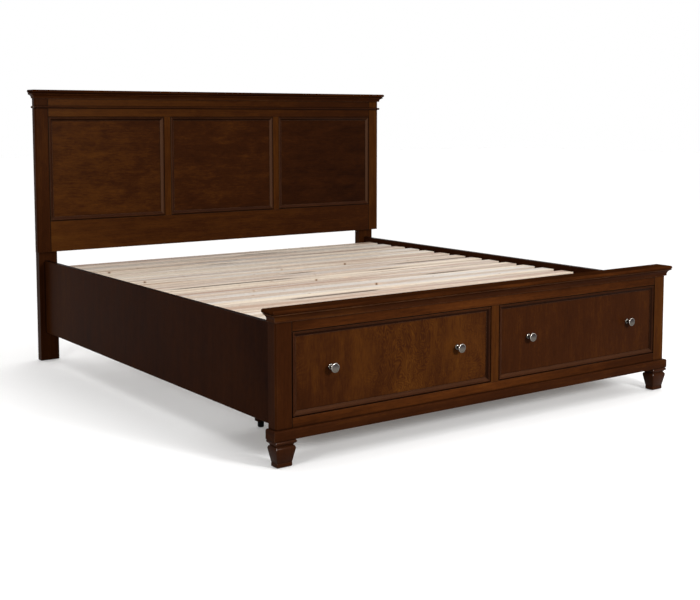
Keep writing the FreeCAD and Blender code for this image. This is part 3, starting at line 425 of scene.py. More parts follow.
# Clear or unfinished wood for the drawer boxes and the supports: a pale and a dark tone each
plain = {
    "beech": ((0.62, 0.43, 0.26), (0.47, 0.30, 0.16)),
    "box": ((0.66, 0.50, 0.33), (0.53, 0.37, 0.22)),
    "ply": ((0.60, 0.45, 0.29), (0.46, 0.31, 0.18)),
    "darkSpan": (0.32, 0.68),
    "plyLayers": 1900.0,   # waves per metre of height, times 2 pi
    "glueSpan": (0.80, 0.98),
    "glueShare": 0.4,
    "rough": 0.5,
    "boxRough": 0.42,
    "specular": 0.35,
    "bumpStrength": 0.25,
    "bumpDepth": 0.0004,
}


def plainWood(name, grain, pale, dark, rough=plain["rough"], layers=0.0):
    graph = newMaterial(name)
    point = grainPoint(graph, grain)
    fibres = graph.noise(point, (8.0, 380.0, 380.0), detail=3.0)
    streaks = graph.noise(point, (1.8, 55.0, 55.0), detail=3.0, rough=0.55, twist=0.5)
    blotches = graph.noise(point, (4.0, 9.0, 9.0), detail=3.0, twist=0.8)
    mixed = streaks * 0.55 + fibres * 0.25 + blotches * 0.2
    colour = graph.cover(pale, dark, mixed, plain["darkSpan"])
    if layers:
        # glued layers show as darker lines on a board's edges
        waves = graph.math("SINE", graph.part(point, "Z") * layers)
        colour = graph.cover(colour, dark, waves, plain["glueSpan"], plain["glueShare"])
    closeMaterial(graph, {
        "Base Color": colour,
        "Roughness": rough + sway(blotches, 0.2),
        "Specular IOR Level": plain["specular"],
        "Normal": graph.bump(fibres, plain),
    })


# Metal or plastic with fine lines along one axis and a soft mottle
smooth = {
    "lowTone": 0.72,       # the darker tone, as a share of the colour
    "toneSpan": (0.35, 0.65),
    "lines": 0.10,         # how far the lines and the mottle move the roughness
    "mottle": 0.10,
    "bumpStrength": 0.2,
    "bumpDepth": 0.0001,
}


def smoothStuff(name, grain, colour, metallic, rough, specular=0.5):
    graph = newMaterial(name)
    point = grainPoint(graph, grain)
    fine = graph.noise(point, (25.0, 1400.0, 1400.0))
    wide = graph.noise(point, (30.0, 45.0, 45.0), detail=3.0)
    relief = fine * 0.5 + wide * 0.5
    darker = tuple(smooth["lowTone"] * channel for channel in colour)
    closeMaterial(graph, {
        "Base Color": graph.cover(darker, colour, relief, smooth["toneSpan"]),
        "Metallic": metallic,
        "Roughness": rough + sway(fine, smooth["lines"]) + sway(wide, smooth["mottle"]),
        "Specular IOR Level": specular,
        "Normal": graph.bump(relief, smooth),
    })


# Satin nickel of the knobs, brushed in rings, with light and shade painted in: dark in the neck, grey on
# the face and worn and painted bright at the rim; each part has a painted lower and upper tone, lighter
# above but darker atop the face
nickel = {
    "base": ((0.090, 0.084, 0.076), (0.66, 0.62, 0.56)),
    "neck": ((0.030, 0.027, 0.024), (0.11, 0.10, 0.09)),
    "face": ((0.090, 0.081, 0.070), (0.040, 0.034, 0.034)),
    "rim": ((0.22, 0.20, 0.175), (0.80, 0.74, 0.68)),
    "litHeightSpan": (-0.006, 0.009),  # heights from the knob's middle where the painted light passes from the lower to the upper tone
    "neckSpan": (0.0035, 0.0055),  # distances from the drawer front
    "faceSpan": (0.020, 0.027),
    "rimSpan": (0.0146, 0.0170),  # distances from the axis
    "rimSway": 0.002,
    "ringSpan": (0.35, 0.65),
    "ringShare": 0.25,     # how far the brushed rings darken
    "rough": 0.20,
    "bumpStrength": 0.2,
    "bumpDepth": 0.00005,
}


def knobNickel(name):
    graph = newMaterial(name)
    point = grainPoint(graph, "own")
    along, radius, around = (graph.part(point, axis) for axis in "XYZ")
    rings = graph.noise(point, (900.0, 2600.0, 12.0))
    mottle = graph.noise(point, (120.0, 160.0, 90.0), detail=3.0)
    # height from the middle: radius * sine of the turn, and the turn is the way around / radius
    rise = radius * graph.math("SINE", around / radius)
    # painted light and shade: each part turns from its lower to its upper tone above the middle
    upper = graph.between(rise, *nickel["litHeightSpan"])
    tones = {part: graph.blendColours(upper, *nickel[part]) for part in ("base", "neck", "face", "rim")}
    colour = graph.cover(tones["base"], tones["neck"], along, nickel["neckSpan"])
    colour = graph.cover(colour, tones["face"], along, nickel["faceSpan"])
    # the rim is worn bright and carries a painted highlight
    rimSheenAndWear = radius + sway(mottle, nickel["rimSway"])
    colour = graph.cover(colour, tones["rim"], rimSheenAndWear, nickel["rimSpan"])
    brushed = rings * 0.6 + mottle * 0.4
    colour = graph.cover(colour, nickel["neck"][0], brushed, nickel["ringSpan"], 0.0, nickel["ringShare"])
    closeMaterial(graph, {
        "Base Color": colour,
        "Metallic": 1.0,
        "Roughness": nickel["rough"] + sway(rings, 0.08) + sway(mottle, 0.10),
        "Normal": graph.bump(rings, nickel),
    })


# the slats are one node, so their number and width stand here
slatCount = 16
slatWidth = 0.076
slatLow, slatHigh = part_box("slats")
slatPitch = (slatHigh.y - slatLow.y - slatWidth) / (slatCount - 1)
firstGap = slatLow.y - (slatPitch - slatWidth) / 2  # middle of the gap before the first slat

headSeams = [("X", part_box("headboard_left_post")[1].x), ("X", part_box("headboard_right_post")[0].x)]
crossSeams = [("X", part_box("footboard_left_post")[1].x), ("X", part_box("footboard_right_post")[0].x)]

stainedWood("headPostWood", "Z", seed=2.0, specular=0.012, tone=0.39, seams=headSeams)
stainedWood("footPostWood", "Z", seed=2.6, specular=0.008, tone=0.34, seams=crossSeams)
stainedWood("paleHeadWood", "Z", seed=16.0, specular=0.012, tone=0.57, streaks=0.5, seams=headSeams)
stainedWood("paleFootWood", "Z", seed=16.8, specular=0.008, tone=0.54, streaks=0.5, seams=crossSeams)
stainedWood("darkUprightWood", "Z", seed=18.0, specular=0.012, tone=0.40)
stainedWood("headRailWood", "X", seed=5.0, lean=(-0.10, 0.0, 0.0), tone=0.51, seams=headSeams)
stainedWood("crossWood", "X", seed=7.0, streaks=0.55, fade=0.20, lean=(-0.05, 0.0, 0.0), tone=0.61,
            specular=0.006, seams=crossSeams, warm=(0.064, 0.0180, 0.0040), gold=(0.110, 0.034, 0.0060))
# the side rails' tops carry painted shade
stainedWood("longWood", "Z", seed=9.0, tone=0.27, specular=0.005, clouds=0.5, streaks=0.2,
            lean=(0.0, 0.12, 0.0), edges=0.0, slopes=[("Z", "glaze", (0.7, 0.95), 0.85)])
stainedWood("headPanelVeneer", "X", seed=3.3, blotches=0.60, clouds=0.60, streaks=0.24, dashes=0.34,
            swirls=0.03, lean=(-0.15, 0.0, 0.0), tone=0.37)
stainedWood("leftFrontVeneer", "Z", seed=6.1, blotches=0.50, clouds=0.8, streaks=0.2, fibres=0.12,
            swirls=0.10, lean=(-0.10, 0.0, 0.0), tone=0.45, specular=0.012)
stainedWood("rightFrontVeneer", "Z", seed=12.4, blotches=0.30, clouds=0.3, streaks=0.2, swirls=0.03,
            tone=0.41, specular=0.012)
# painted light on faces that look left, painted shade on faces that look down
stainedWood("panelStripWood", "own", seed=4.6, tone=0.38, specular=0.010, coat=0.045, reach=0.006,
            edges=1.0, edgeWidth=0.0022, slopes=[
                ("X", "rubbed", (-0.45, -0.15), 0.0, 0.34),
                ("Z", "glaze", (-0.35, -0.10), 0.0, 0.60),
            ])
# painted shade on faces that look down or left, painted light on faces that look up
stainedWood("drawerStripWood", "own", seed=3.0, tone=0.35, specular=0.006, coat=0.020, reach=0.006,
            edges=0.8, edgeWidth=0.0018, slopes=[
                ("Z", "glaze", (-0.40, -0.15), 0.0, 0.60),
                ("X", "glaze", (-0.40, -0.15), 0.0, 0.65),
                ("Z", "rubbed", (0.15, 0.45), 0.12),
            ])
stainedWood("stripWood", "own", seed=1.0, tone=0.40, streaks=0.5, specular=0.006, coat=0.010, reach=0.005,
            edges=0.9)
# the cap's top carries painted shade
stainedWood("capWood", "X", seed=8.0, tone=0.42, lean=(0.08, 0.0, 0.0), specular=0.0, streaks=1.0,
            reach=0.005, edges=0.4, warm=(0.064, 0.0180, 0.0036),
            slopes=[("Z", "glaze", (0.7, 0.95), 0.35)])
# the feet carry the painted highlight on their corners
stainedWood("footWood", "Z", seed=14.0, tone=0.38, coat=0.035, reach=0.004, wear=0.28, edges=0.7)
stainedWood("caseBoard", "Y", seed=4.0, tone=0.30, rough=0.6, blotches=0.2, clouds=0.2)
pineSlats("slatPine", firstGap, slatPitch, slatHigh.z)
plainWood("beech", "Y", *plain["beech"])
plainWood("uprightBeech", "Z", *plain["beech"])
plainWood("boxWood", "Y", *plain["box"], plain["boxRough"])
plainWood("boxWoodAcross", "X", *plain["box"], plain["boxRough"])
plainWood("thinPly", "X", *plain["ply"], layers=plain["plyLayers"])
smoothStuff("zincSteel", "Y", (0.62, 0.63, 0.64), metallic=1.0, rough=0.34)
smoothStuff("screwSteel", "Y", (0.60, 0.60, 0.60), metallic=1.0, rough=0.30)
smoothStuff("blackPlate", "Z", (0.035, 0.035, 0.036), metallic=0.0, rough=0.42)
smoothStuff("blackBolt", "Y", (0.030, 0.030, 0.031), metallic=0.6, rough=0.38)
knobNickel("nickel")
smoothStuff("blackNylon", "Z", (0.004, 0.004, 0.004), metallic=0.0, rough=0.60, specular=0.05)
print("materials made:", len(finishes))

# CAD pieces that keep their shape, by finish
dressed = {
    "headPostWood": ["headboard_left_post"],
    "footPostWood": ["footboard_left_post"],
    "paleHeadWood": ["headboard_right_post", "headboard_muntins"],
    "paleFootWood": ["footboard_right_post", "footboard_centre_stile"],
    "darkUprightWood": ["headboard_left_leg", "headboard_right_leg"],
    "headRailWood": ["headboard_bottom_rail", "headboard_top_rail"],
    "crossWood": ["footboard_top_rail", "footboard_bottom_rail", "footboard_back_rail"],
    "longWood": ["left_side_rail", "right_side_rail"],
    "headPanelVeneer": ["headboard_left_panel", "headboard_centre_panel", "headboard_right_panel"],
    "leftFrontVeneer": ["left_drawer_front"],
    "rightFrontVeneer": ["right_drawer_front"],
    "caseBoard": ["case_left_side", "case_right_side", "case_divider", "case_back_board", "case_legs"],
    "slatPine": ["slats"],
    "beech": ["slat_cleats", "centre_beam"],
    "uprightBeech": ["centre_beam_legs"],
    "boxWood": ["left_drawer_sides", "right_drawer_sides"],
    "boxWoodAcross": ["left_drawer_back", "right_drawer_back"],
    "thinPly": ["left_drawer_bottom", "right_drawer_bottom"],
    "zincSteel": [
        "case_slide_members",
        "left_drawer_slide_middle_members",
        "left_drawer_slide_inner_members",
        "right_drawer_slide_middle_members",
        "right_drawer_slide_inner_members",
    ],
    "screwSteel": ["left_drawer_knob_screws", "right_drawer_knob_screws"],
    "blackPlate": ["rail_hook_plates"],
    "blackBolt": ["headboard_leg_bolts"],
    "blackNylon": ["nail_glides"],
}
for finish, names in dressed.items():
    for name in names:
        nodes[name].data.materials.clear()
        nodes[name].data.materials.append(finishes[finish])
print("CAD pieces dressed:", sum(len(names) for names in dressed.values()))


# New surfaces

# points on an arc from start to end that rises by bulge to the left of the way there:
# the radius is (a quarter of the chord squared + bulge squared) / twice the bulge
def bow(start, end, bulge, count):
    start, end = np.array(start, float), np.array(end, float)
    chord = end - start
    length = np.hypot(*chord)
    radius = (length ** 2 / 4 + bulge ** 2) / (2 * abs(bulge))
    half = np.arcsin(length / 2 / radius)
    turn = np.linspace(-half, half, count)
    along = chord / length
    left = np.array([-along[1], along[0]]) * np.sign(bulge)
    rise = radius * np.cos(turn) - (radius - abs(bulge))
    return (start + end) / 2 + np.outer(radius * np.sin(turn), along) + np.outer(rise, left)


# angles from 0 to a right angle
def quarterTurn(count):
    return np.linspace(0, np.pi / 2, count)


quarterBulge = 0.29  # how far a quarter round stands out past its chord, as a share of its radius

# how the wood moves on, so that no two strips show the same stretch of it
grainShift = {"across": 0.37, "deep": 0.11, "side": 1.9, "front": 3.0, "right": 7.0}


# one closed strip: a profile of (side, out) goes straight along a line, and each end slides with the
# mitre coordinate, so the place is origin + along * s + sideways * side + outwards * out
def strip(profile, origin, along, sideways, outwards, length, mitre, startSlope, endSlope, travel):
    side, out = profile.T
    slide = profile[:, mitre]
    origin, along, sideways, outwards = (np.array(v, float) for v in (origin, along, sideways, outwards))
    body = origin + np.outer(side, sideways) + np.outer(out, outwards)
    starts = startSlope * slide
    ends = length + endSlope * slide
    points = np.vstack([body + np.outer(starts, along), body + np.outer(ends, along)])
    around = np.concatenate([[0.0], np.cumsum(np.hypot(*np.diff(profile, axis=0).T))])
    count = len(profile)
    grain = np.column_stack([
        np.concatenate([starts, ends]) + travel,
        np.tile(around, 2) + travel * grainShift["across"],
        np.full(2 * count, travel * grainShift["deep"]),
    ])
    first = np.arange(count)
    after = (first + 1) % count
    quads = np.column_stack([first, after, after + count, first + count]).tolist()
    return points, quads + [first[::-1].tolist(), (first + count).tolist()], grain


# four mitred strips round an opening from low to high, lying on the wall and standing out towards -Y
def frameStrips(profile, low, high, wall, gap, travel):
    width, height = high[0] - low[0], high[1] - low[1]
    out = (0, -1, 0)
    sides = [
        ((low[0], wall, low[1]), (1, 0, 0), (0, 0, 1), width),
        ((high[0], wall, low[1]), (0, 0, 1), (-1, 0, 0), height),
        ((high[0], wall, high[1]), (-1, 0, 0), (0, 0, -1), width),
        ((low[0], wall, high[1]), (0, 0, -1), (1, 0, 0), height),
    ]
    parts = []
    for index, (origin, along, sideways, length) in enumerate(sides):
        start = np.array(origin) + (np.array(along) + np.array(sideways)) * gap
        moved = travel + grainShift["side"] * index
        parts.append(strip(profile, start, along, sideways, out, length - 2 * gap, 0, 1, -1, moved))
    return parts


# three mitred strips round the front and sides of a block; the profile is (rise, depth)
def wrapStrips(profile, low, high, level, travel):
    up = (0, 0, 1)
    width, depth = high[0] - low[0], high[1] - low[1]
    front, right = travel + grainShift["front"], travel + grainShift["right"]
    sides = [
        ((low[0], high[1], level), (0, -1, 0), (-1, 0, 0), depth, 0, 1, travel),
        ((low[0], low[1], level), (1, 0, 0), (0, -1, 0), width, -1, 1, front),
        ((high[0], low[1], level), (0, 1, 0), (1, 0, 0), depth, -1, 0, right),
    ]
    return [
        strip(profile, origin, along, up, out, length, 1, startSlope, endSlope, moved)
        for origin, along, out, length, startSlope, endSlope, moved in sides
    ]


# several shapes as one set of points, faces and grain coordinates
def joined(parts):
    points, faces, grain, offset = [], [], [], 0
    for part in parts:
        points.append(part[0])
        faces += [[index + offset for index in face] for face in part[1]]
        grain.append(part[2])
        offset += len(part[0])
    return np.vstack(points), faces, np.vstack(grain)


# quads between rings that lie one behind the other, each with the same count of points
def ringQuads(rings, around):
    index = np.arange(rings * around).reshape(rings, around)
    onward = np.roll(index, -1, axis=1)
    quads = np.stack([index[:-1], onward[:-1], onward[1:], index[1:]], axis=-1).reshape(-1, 4)
    return index, quads.tolist()


def newObject(name, data):
    thing = bpy.data.objects.new(name, data)
    bpy.context.scene.collection.objects.link(thing)
    return thing


# edges that bend by less than smoothAngle degrees are shaded smooth
def makePiece(name, shape, finish, replaced, smoothAngle=35.0):
    points, faces, *grain = shape
    mesh = bpy.data.meshes.new(name)
    mesh.from_pydata(points.tolist(), [], faces)
    if grain:
        mesh.attributes.new("grain", "FLOAT_VECTOR", "POINT").data.foreach_set("vector", grain[0].ravel())
    work = bmesh.new()
    work.from_mesh(mesh)
    bmesh.ops.recalc_face_normals(work, faces=work.faces)
    work.to_mesh(mesh)
    work.free()
    mesh.polygons.foreach_set("use_smooth", np.ones(len(mesh.polygons), bool))
    mesh.set_sharp_from_angle(angle=math.radians(smoothAngle))
    mesh.materials.append(finishes[finish])
    piece = newObject(name, mesh)
    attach(piece, nodes[replaced]["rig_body"])
    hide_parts(replaced)
    return piece


# Panel mouldings: a flat land, a small step and an ogee down to a thin inner edge
ogee = {
    "width": 0.018, "land": 0.0058, "step": 0.0011, "edge": 0.0016, "foot": 0.0016,
    "gap": 0.0026,         # between a moulding and the frame of its opening
    "tongue": 0.0068,      # how far the centre panel goes into its grooves
    # where in the wood the strips start: from panel to panel, and on the two drawers
    "travel": {"head": 11.0, "left": 20.0, "right": 30.0},
}


# the slope is half a wave of a cosine, which falls from 1 to 0
def ogeeProfile(thickness):
    land, width, edge, step, toe = (ogee[name] for name in ("land", "width", "edge", "step", "foot"))
    share = np.linspace(0, 1, 13)
    fall = (1 + np.cos(np.pi * share)) / 2
    slope = np.column_stack([land + (width - land) * share, toe + (thickness - step - toe) * fall])
    outer = bow((0, thickness - edge), (edge, thickness), edge * quarterBulge, count=4)
    inner = bow((land - edge, thickness), (land, thickness - edge), edge * quarterBulge, count=4)
    return np.vstack([[(0, 0)], outer, inner, slope, [(width, 0)]])


def panelMouldings():
    node = "headboard_panel_mouldings"
    low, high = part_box(node)
    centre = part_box("headboard_centre_panel")[1].x - ogee["tongue"]
    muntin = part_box("headboard_muntins")[1].x
    openings = [(low.x, -muntin), (-centre, centre), (muntin, high.x)]
    profile = ogeeProfile(high.y - low.y)
    parts = []
    for index, (left, right) in enumerate(openings):
        travel = ogee["travel"]["head"] * index
        parts += frameStrips(profile, (left, low.z), (right, high.z), high.y, ogee["gap"], travel)
    return makePiece("panelMouldings", joined(parts), "panelStripWood", node)


def drawerMoulding(side):
    name, node = f"{side}DrawerMoulding", f"{side}_drawer_front_moulding"
    low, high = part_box(node)
    profile = ogeeProfile(high.y - low.y)
    parts = frameStrips(profile, (low.x, low.z), (high.x, high.z), high.y, 0.0, ogee["travel"][side])
    return makePiece(name, joined(parts), "drawerStripWood", node)


# Crown under the headboard's cap: a thin foot, a cove and a bead
crown = {
    "foot": 0.005, "footHeight": 0.004, "coveBulge": 0.0029,
    "beadHeight": 0.009, "beadBulge": 0.0032, "beadLip": 0.0004, "travel": 40.0,
}


def crownProfile(height, depth):
    hollow = depth - crown["beadBulge"]
    beadStart = height - crown["beadHeight"]
    beadFoot = hollow + crown["beadLip"]
    bulge = crown["beadBulge"] - crown["beadLip"]
    return np.vstack([
        [(0, 0), (0, crown["foot"])],
        bow((crown["footHeight"], crown["foot"]), (beadStart, hollow), -crown["coveBulge"], count=12),
        bow((beadStart, beadFoot), (height, beadFoot), bulge, count=12),
        [(height, 0)],
    ])


# Bead round the headboard's frieze: one round on a low foot
bead = {"foot": 0.003, "travel": 55.0}


def beadProfile(height, depth):
    return np.vstack([
        [(0, 0)],
        bow((0, bead["foot"]), (height, bead["foot"]), depth - bead["foot"], count=14),
        [(height, 0)],
    ])


# Cove under the footboard's cap: a foot, a hollow and a lip
cove = {"foot": 0.005, "footHeight": 0.005, "lip": 0.003, "bulge": 0.0043, "travel": 70.0}


def coveProfile(height, depth):
    return np.vstack([
        [(0, 0), (0, cove["foot"])],
        bow((cove["footHeight"], cove["foot"]), (height - cove["lip"], depth), -cove["bulge"], count=14),
        [(height, depth), (height, 0)],
    ])


# Band round the footboard's base: a flat face with a soft slope on top
band = {"slopeHeight": 0.006, "slopeDepth": 0.0045, "slopeBulge": 0.0011, "round": 0.0015, "travel": 83.0}


def bandProfile(height, depth):
    ease = band["round"]
    slopeStart, slopeEnd = (height - band["slopeHeight"], depth), (height, depth - band["slopeDepth"])
    return np.vstack([
        [(0, 0)],
        bow((0, depth - ease), (ease, depth), ease * quarterBulge, count=5),
        bow(slopeStart, slopeEnd, band["slopeBulge"], count=7),
        [(height, 0)],
    ])


# a moulding that is carried round a board's two posts
def wrapMoulding(name, node, finish, profileOf, travel):
    low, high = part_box(node)
    board = node.split("_")[0]
    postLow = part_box(f"{board}_left_post")[0]
    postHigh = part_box(f"{board}_right_post")[1]
    profile = profileOf(high.z - low.z, postLow.y - low.y)
    parts = wrapStrips(profile, (postLow.x, postLow.y), (postHigh.x, postHigh.y), low.z, travel)
    return makePiece(name, joined(parts), finish, node)


# A cap board: its nose, two quarter rounds with a flat between, is carried round three sides, and flat
# faces close the top, underside and back
capNose = {"flat": 0.002, "inset": 0.020, "steps": 9}


def capBoard(name, node):
    low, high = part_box(node)
    radius = (high.z - low.z - capNose["flat"]) / 2
    turn = quarterTurn(capNose["steps"])
    upper = np.column_stack([radius * np.sin(turn) - radius, high.z - radius + radius * np.cos(turn)])
    lower = np.column_stack([upper[::-1, 0], low.z + high.z - upper[::-1, 1]])
    inset = capNose["inset"]
    profile = np.vstack([[(-inset, high.z)], upper, lower, [(-inset, low.z)]])
    out, level = profile.T
    stations = []
    for x, y, mitre in ((low.x, high.y, 0), (low.x, low.y, 1), (high.x, low.y, 1), (high.x, high.y, 0)):
        outX = -out if x < 0 else out
        stations.append(np.column_stack([x + outX, y - out * mitre, level]))
    points = np.vstack(stations)
    index = np.arange(len(points)).reshape(len(stations), -1)
    quads = np.stack([index[:-1, :-1], index[1:, :-1], index[1:, 1:], index[:-1, 1:]], axis=-1)
    top, underside = index[:, 0].tolist(), index[::-1, -1].tolist()
    back = index[0].tolist() + index[3][::-1].tolist()
    faces = quads.reshape(-1, 4).tolist() + [top, underside, back]
    return makePiece(name, (points, faces), "capWood", node)


# A moulded foot: at each level the section is a rectangle with rounded corners, and the outline tells
# how far its sides stand out past those of the neck
foot = {
    "toeInset": 0.0035, "ease": 0.002, "toeHeight": 0.0155, "groove": 0.0012,
    "shoulderHeight": 0.012, "shoulderReach": 0.006, "shoulderBulge": 0.002,
    "coveHeight": 0.008, "coveHollow": 0.0014, "rootReach": 0.006,
    "beadHeight": 0.0125, "beadBulge": 0.0045, "topReach": 0.003,
    "corner": 0.0018, "cornerPoints": 5, "smoothAngle": 40.0,
}


def mouldedFoot(side):
    node = f"footboard_{side}_foot"
    low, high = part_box(node)
    toe = low.z + foot["toeHeight"]
    root = high.z - foot["beadHeight"]
    neck = root - foot["coveHeight"]
    shoulder = neck - foot["shoulderHeight"]
    inset, groove = foot["toeInset"], foot["groove"]
    outline = np.vstack([
        [(-inset - foot["ease"], low.z), (-inset, low.z + foot["ease"])],
        [(-inset, toe - groove), (-inset - groove, toe), (-inset, toe + groove)],
        bow((foot["shoulderReach"], shoulder), (0, neck), -foot["shoulderBulge"], count=10),
        bow((0, neck), (foot["rootReach"], root), foot["coveHollow"], count=8)[1:],
        bow((foot["rootReach"], root), (foot["topReach"], high.z), -foot["beadBulge"], count=14)[1:],
    ])
    past, level = outline.T
    middle = (low + high) / 2
    neckX = (high.x - low.x) / 2 - past.max()
    neckY = (high.y - low.y) / 2 - past.max()
    # each corner turns through 45 degrees to both sides of its own direction
    count = foot["cornerPoints"]
    turn = (np.arange(4)[:, None] * 90 + 45 + np.linspace(-45, 45, count)).ravel() * np.pi / 180
    corner = (np.repeat(np.arange(4), count) * 90 + 45) * np.pi / 180
    # place = middle + sign of the corner * (half size - corner radius) + corner radius * turn
    away = past[:, None] - foot["corner"]
    x = middle.x + np.sign(np.cos(corner)) * (neckX + away) + foot["corner"] * np.cos(turn)
    y = middle.y + np.sign(np.sin(corner)) * (neckY + away) + foot["corner"] * np.sin(turn)
    points = np.stack([x, y, np.broadcast_to(level[:, None], x.shape)], axis=-1).reshape(-1, 3)
    index, quads = ringQuads(*x.shape)
    faces = quads + [index[0, ::-1].tolist(), index[-1].tolist()]
    return makePiece(f"{side}Foot", (points, faces), "footWood", node,
                     foot["smoothAngle"])


# a turned shape about the axis from centre: the outline is (distance along the axis, radius), and a
# point is centre + axis * distance + radius * (cosine of the turn, sine of the turn)
def turned(outline, centre, axis, segments):
    along, radius = outline.T
    turn = np.linspace(0, 2 * np.pi, segments, endpoint=False)
    ring = np.outer(radius, np.cos(turn)), np.outer(radius, np.sin(turn))
    rise = np.broadcast_to(along[:, None], ring[0].shape)
    if axis == "-Y":
        points = np.stack([centre[0] + ring[0], centre[1] - rise, centre[2] + ring[1]], axis=-1)
    else:
        points = np.stack([centre[0] + ring[0], centre[1] + ring[1], centre[2] + rise], axis=-1)
    index, quads = ringQuads(radius.size, segments)
    grain = np.stack([rise, np.broadcast_to(radius[:, None], rise.shape), np.outer(radius, turn)], axis=-1)
    faces = quads + [index[0].tolist(), index[-1, ::-1].tolist()]
    return points.reshape(-1, 3), faces, grain.reshape(-1, 3)


# Knobs: a ringed base, a waisted neck that flares out, and a flat head with a soft rim
knob = {
    "base": 0.0095, "baseHeight": 0.0026, "baseStart": 0.0004, "baseBulge": 0.0005,
    "backEase": 0.0008, "frontEase": 0.0006,   # how far the base's two edges lie inside its radius
    "ring": 0.0078, "ringHeight": 0.0022, "ringBulge": 0.0009,
    "ringBackEase": 0.0008, "ringFrontEase": 0.0012,
    "neck": 0.0052, "flare": 3.2,              # power of the flare: slow at first, then quick
    "head": 0.0175, "headHeight": 0.0075, "rim": 0.0024, "dome": 0.0010, "tip": 0.0004,
    "length": 0.032, "segments": 56, "smoothAngle": 50.0,
}


# the neck's radius grows with a power of the way to the head, and the face falls with the square of the
# distance from the axis
def knobOutline():
    length, head, rim, neck = knob["length"], knob["head"], knob["rim"], knob["neck"]
    base, ring = knob["base"], knob["ring"]
    headBack = length - knob["headHeight"]
    baseTop = knob["baseHeight"]
    ringTop = baseTop + knob["ringHeight"]
    share = np.linspace(0, 1, 12)
    flare = np.column_stack([
        ringTop + (headBack - ringTop) * share,
        neck + (head - rim - neck) * share ** knob["flare"],
    ])
    turn = quarterTurn(7)
    back = np.column_stack([headBack + rim - rim * np.cos(turn), head - rim + rim * np.sin(turn)])
    face = length - knob["dome"]
    front = np.column_stack([face - rim + rim * np.sin(turn), head - rim + rim * np.cos(turn)])
    spread = np.linspace(head - rim, knob["tip"], 8)
    dome = np.column_stack([length - knob["dome"] * (spread / (head - rim)) ** 2, spread])
    baseFront, ringBack = base - knob["frontEase"], ring - knob["ringBackEase"]
    ringFront = ring - knob["ringFrontEase"]
    return np.vstack([
        [(0.0, base - knob["backEase"])],
        bow((knob["baseStart"], base), (baseTop, baseFront), knob["baseBulge"], count=6),
        bow((baseTop, ringBack), (ringTop, ringFront), knob["ringBulge"], count=6),
        flare, back[1:], front, dome[1:],
    ])


def drawerKnobs(side):
    name, node = f"{side}DrawerKnobs", f"{side}_drawer_knobs"
    low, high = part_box(node)
    outline = knobOutline()
    radius = (high.z - low.z) / 2
    parts = [
        turned(outline, (x, high.y, (low.z + high.z) / 2), "-Y", knob["segments"])
        for x in (low.x + radius, high.x - radius)
    ]
    return makePiece(name, joined(parts), "nickel", node, knob["smoothAngle"])


# Glides: short turned cups under the support legs, rounded at the floor
glide = {"radius": 0.0125, "round": 0.005, "ease": 0.001, "segments": 28, "smoothAngle": 40.0}


# middle of each separate leg of a node, from the loose parts of its mesh
def legMiddles(node):
    work = bmesh.new()
    work.from_mesh(nodes[node].data)
    bmesh.ops.remove_doubles(work, verts=work.verts, dist=1e-6)
    work.verts.ensure_lookup_table()
    seen, middles = set(), []
    for vert in work.verts:
        if vert.index in seen:
            continue
        stack, group = [vert], []
        seen.add(vert.index)
        while stack:
            current = stack.pop()
            group.append(current.co.copy())
            for edge in current.link_edges:
                far = edge.other_vert(current)
                if far.index not in seen:
                    seen.add(far.index)
                    stack.append(far)
        corners = np.array(group)
        middles.append(tuple((corners.min(0) + corners.max(0))[:2] / 2))
    work.free()
    return middles


def supportGlides():
    node = "support_glides"
    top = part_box(node)[1].z
    radius, soft, ease = glide["radius"], glide["round"], glide["ease"]
    turn = quarterTurn(7)
    outline = np.vstack([
        np.column_stack([soft - soft * np.cos(turn), radius - soft + soft * np.sin(turn)]),
        [(top - ease, radius), (top, radius - ease)],
    ])
    places = legMiddles("centre_beam_legs") + legMiddles("case_legs")
    parts = [turned(outline, (x, y, 0.0), "Z", glide["segments"]) for x, y in places]
    return makePiece("supportGlides", joined(parts), "blackNylon", node,
                     glide["smoothAngle"])


made = [
    panelMouldings(),
    drawerMoulding("left"),
    drawerMoulding("right"),
    wrapMoulding("crownMoulding", "headboard_crown_moulding", "stripWood", crownProfile, crown["travel"]),
    wrapMoulding("beadMoulding", "headboard_bead_moulding", "panelStripWood", beadProfile, bead["travel"]),
    wrapMoulding("coveMoulding", "footboard_cove_moulding", "stripWood", coveProfile, cove["travel"]),
    wrapMoulding("baseMoulding", "footboard_base_moulding", "stripWood", bandProfile, band["travel"]),
    capBoard("crownCap", "headboard_crown_cap"),
    capBoard("footboardCap", "footboard_cap"),
    mouldedFoot("left"),
    mouldedFoot("right"),
    drawerKnobs("left"),
    drawerKnobs("right"),
    supportGlides(),
]
print("new pieces made:", len(made))


# Stage: a white floor that keeps a soft shadow, a white surround, soft lamps and the camera

stage = {
    "floorSize": 60.0,
    "glow": 0.14,          # share of the floor's white that shadow doesn't take
    "floorGrey": 0.30,     # what the floor gives back to the bed
    "daylight": (1.0, 0.98, 0.96),
    "dim": 0.22,           # the surround's light on the far left, and on the right in front
    "bright": 0.55,
    "dimUpTo": -0.6,       # cosine of the angle to the bright side at which it is dimmest
    "towards": (0.50, -0.52, 0.69),
}


# 1 for rays that show the background: from the camera, in metal and through glass
def whiteSeen(graph):
    camera, glossy, through = (
        graph.add("ShaderNodeLightPath", None, None, name)
        for name in ("Is Camera Ray", "Is Glossy Ray", "Is Transmission Ray")
    )
    return graph.math("MAXIMUM", graph.math("MAXIMUM", camera, glossy), through)


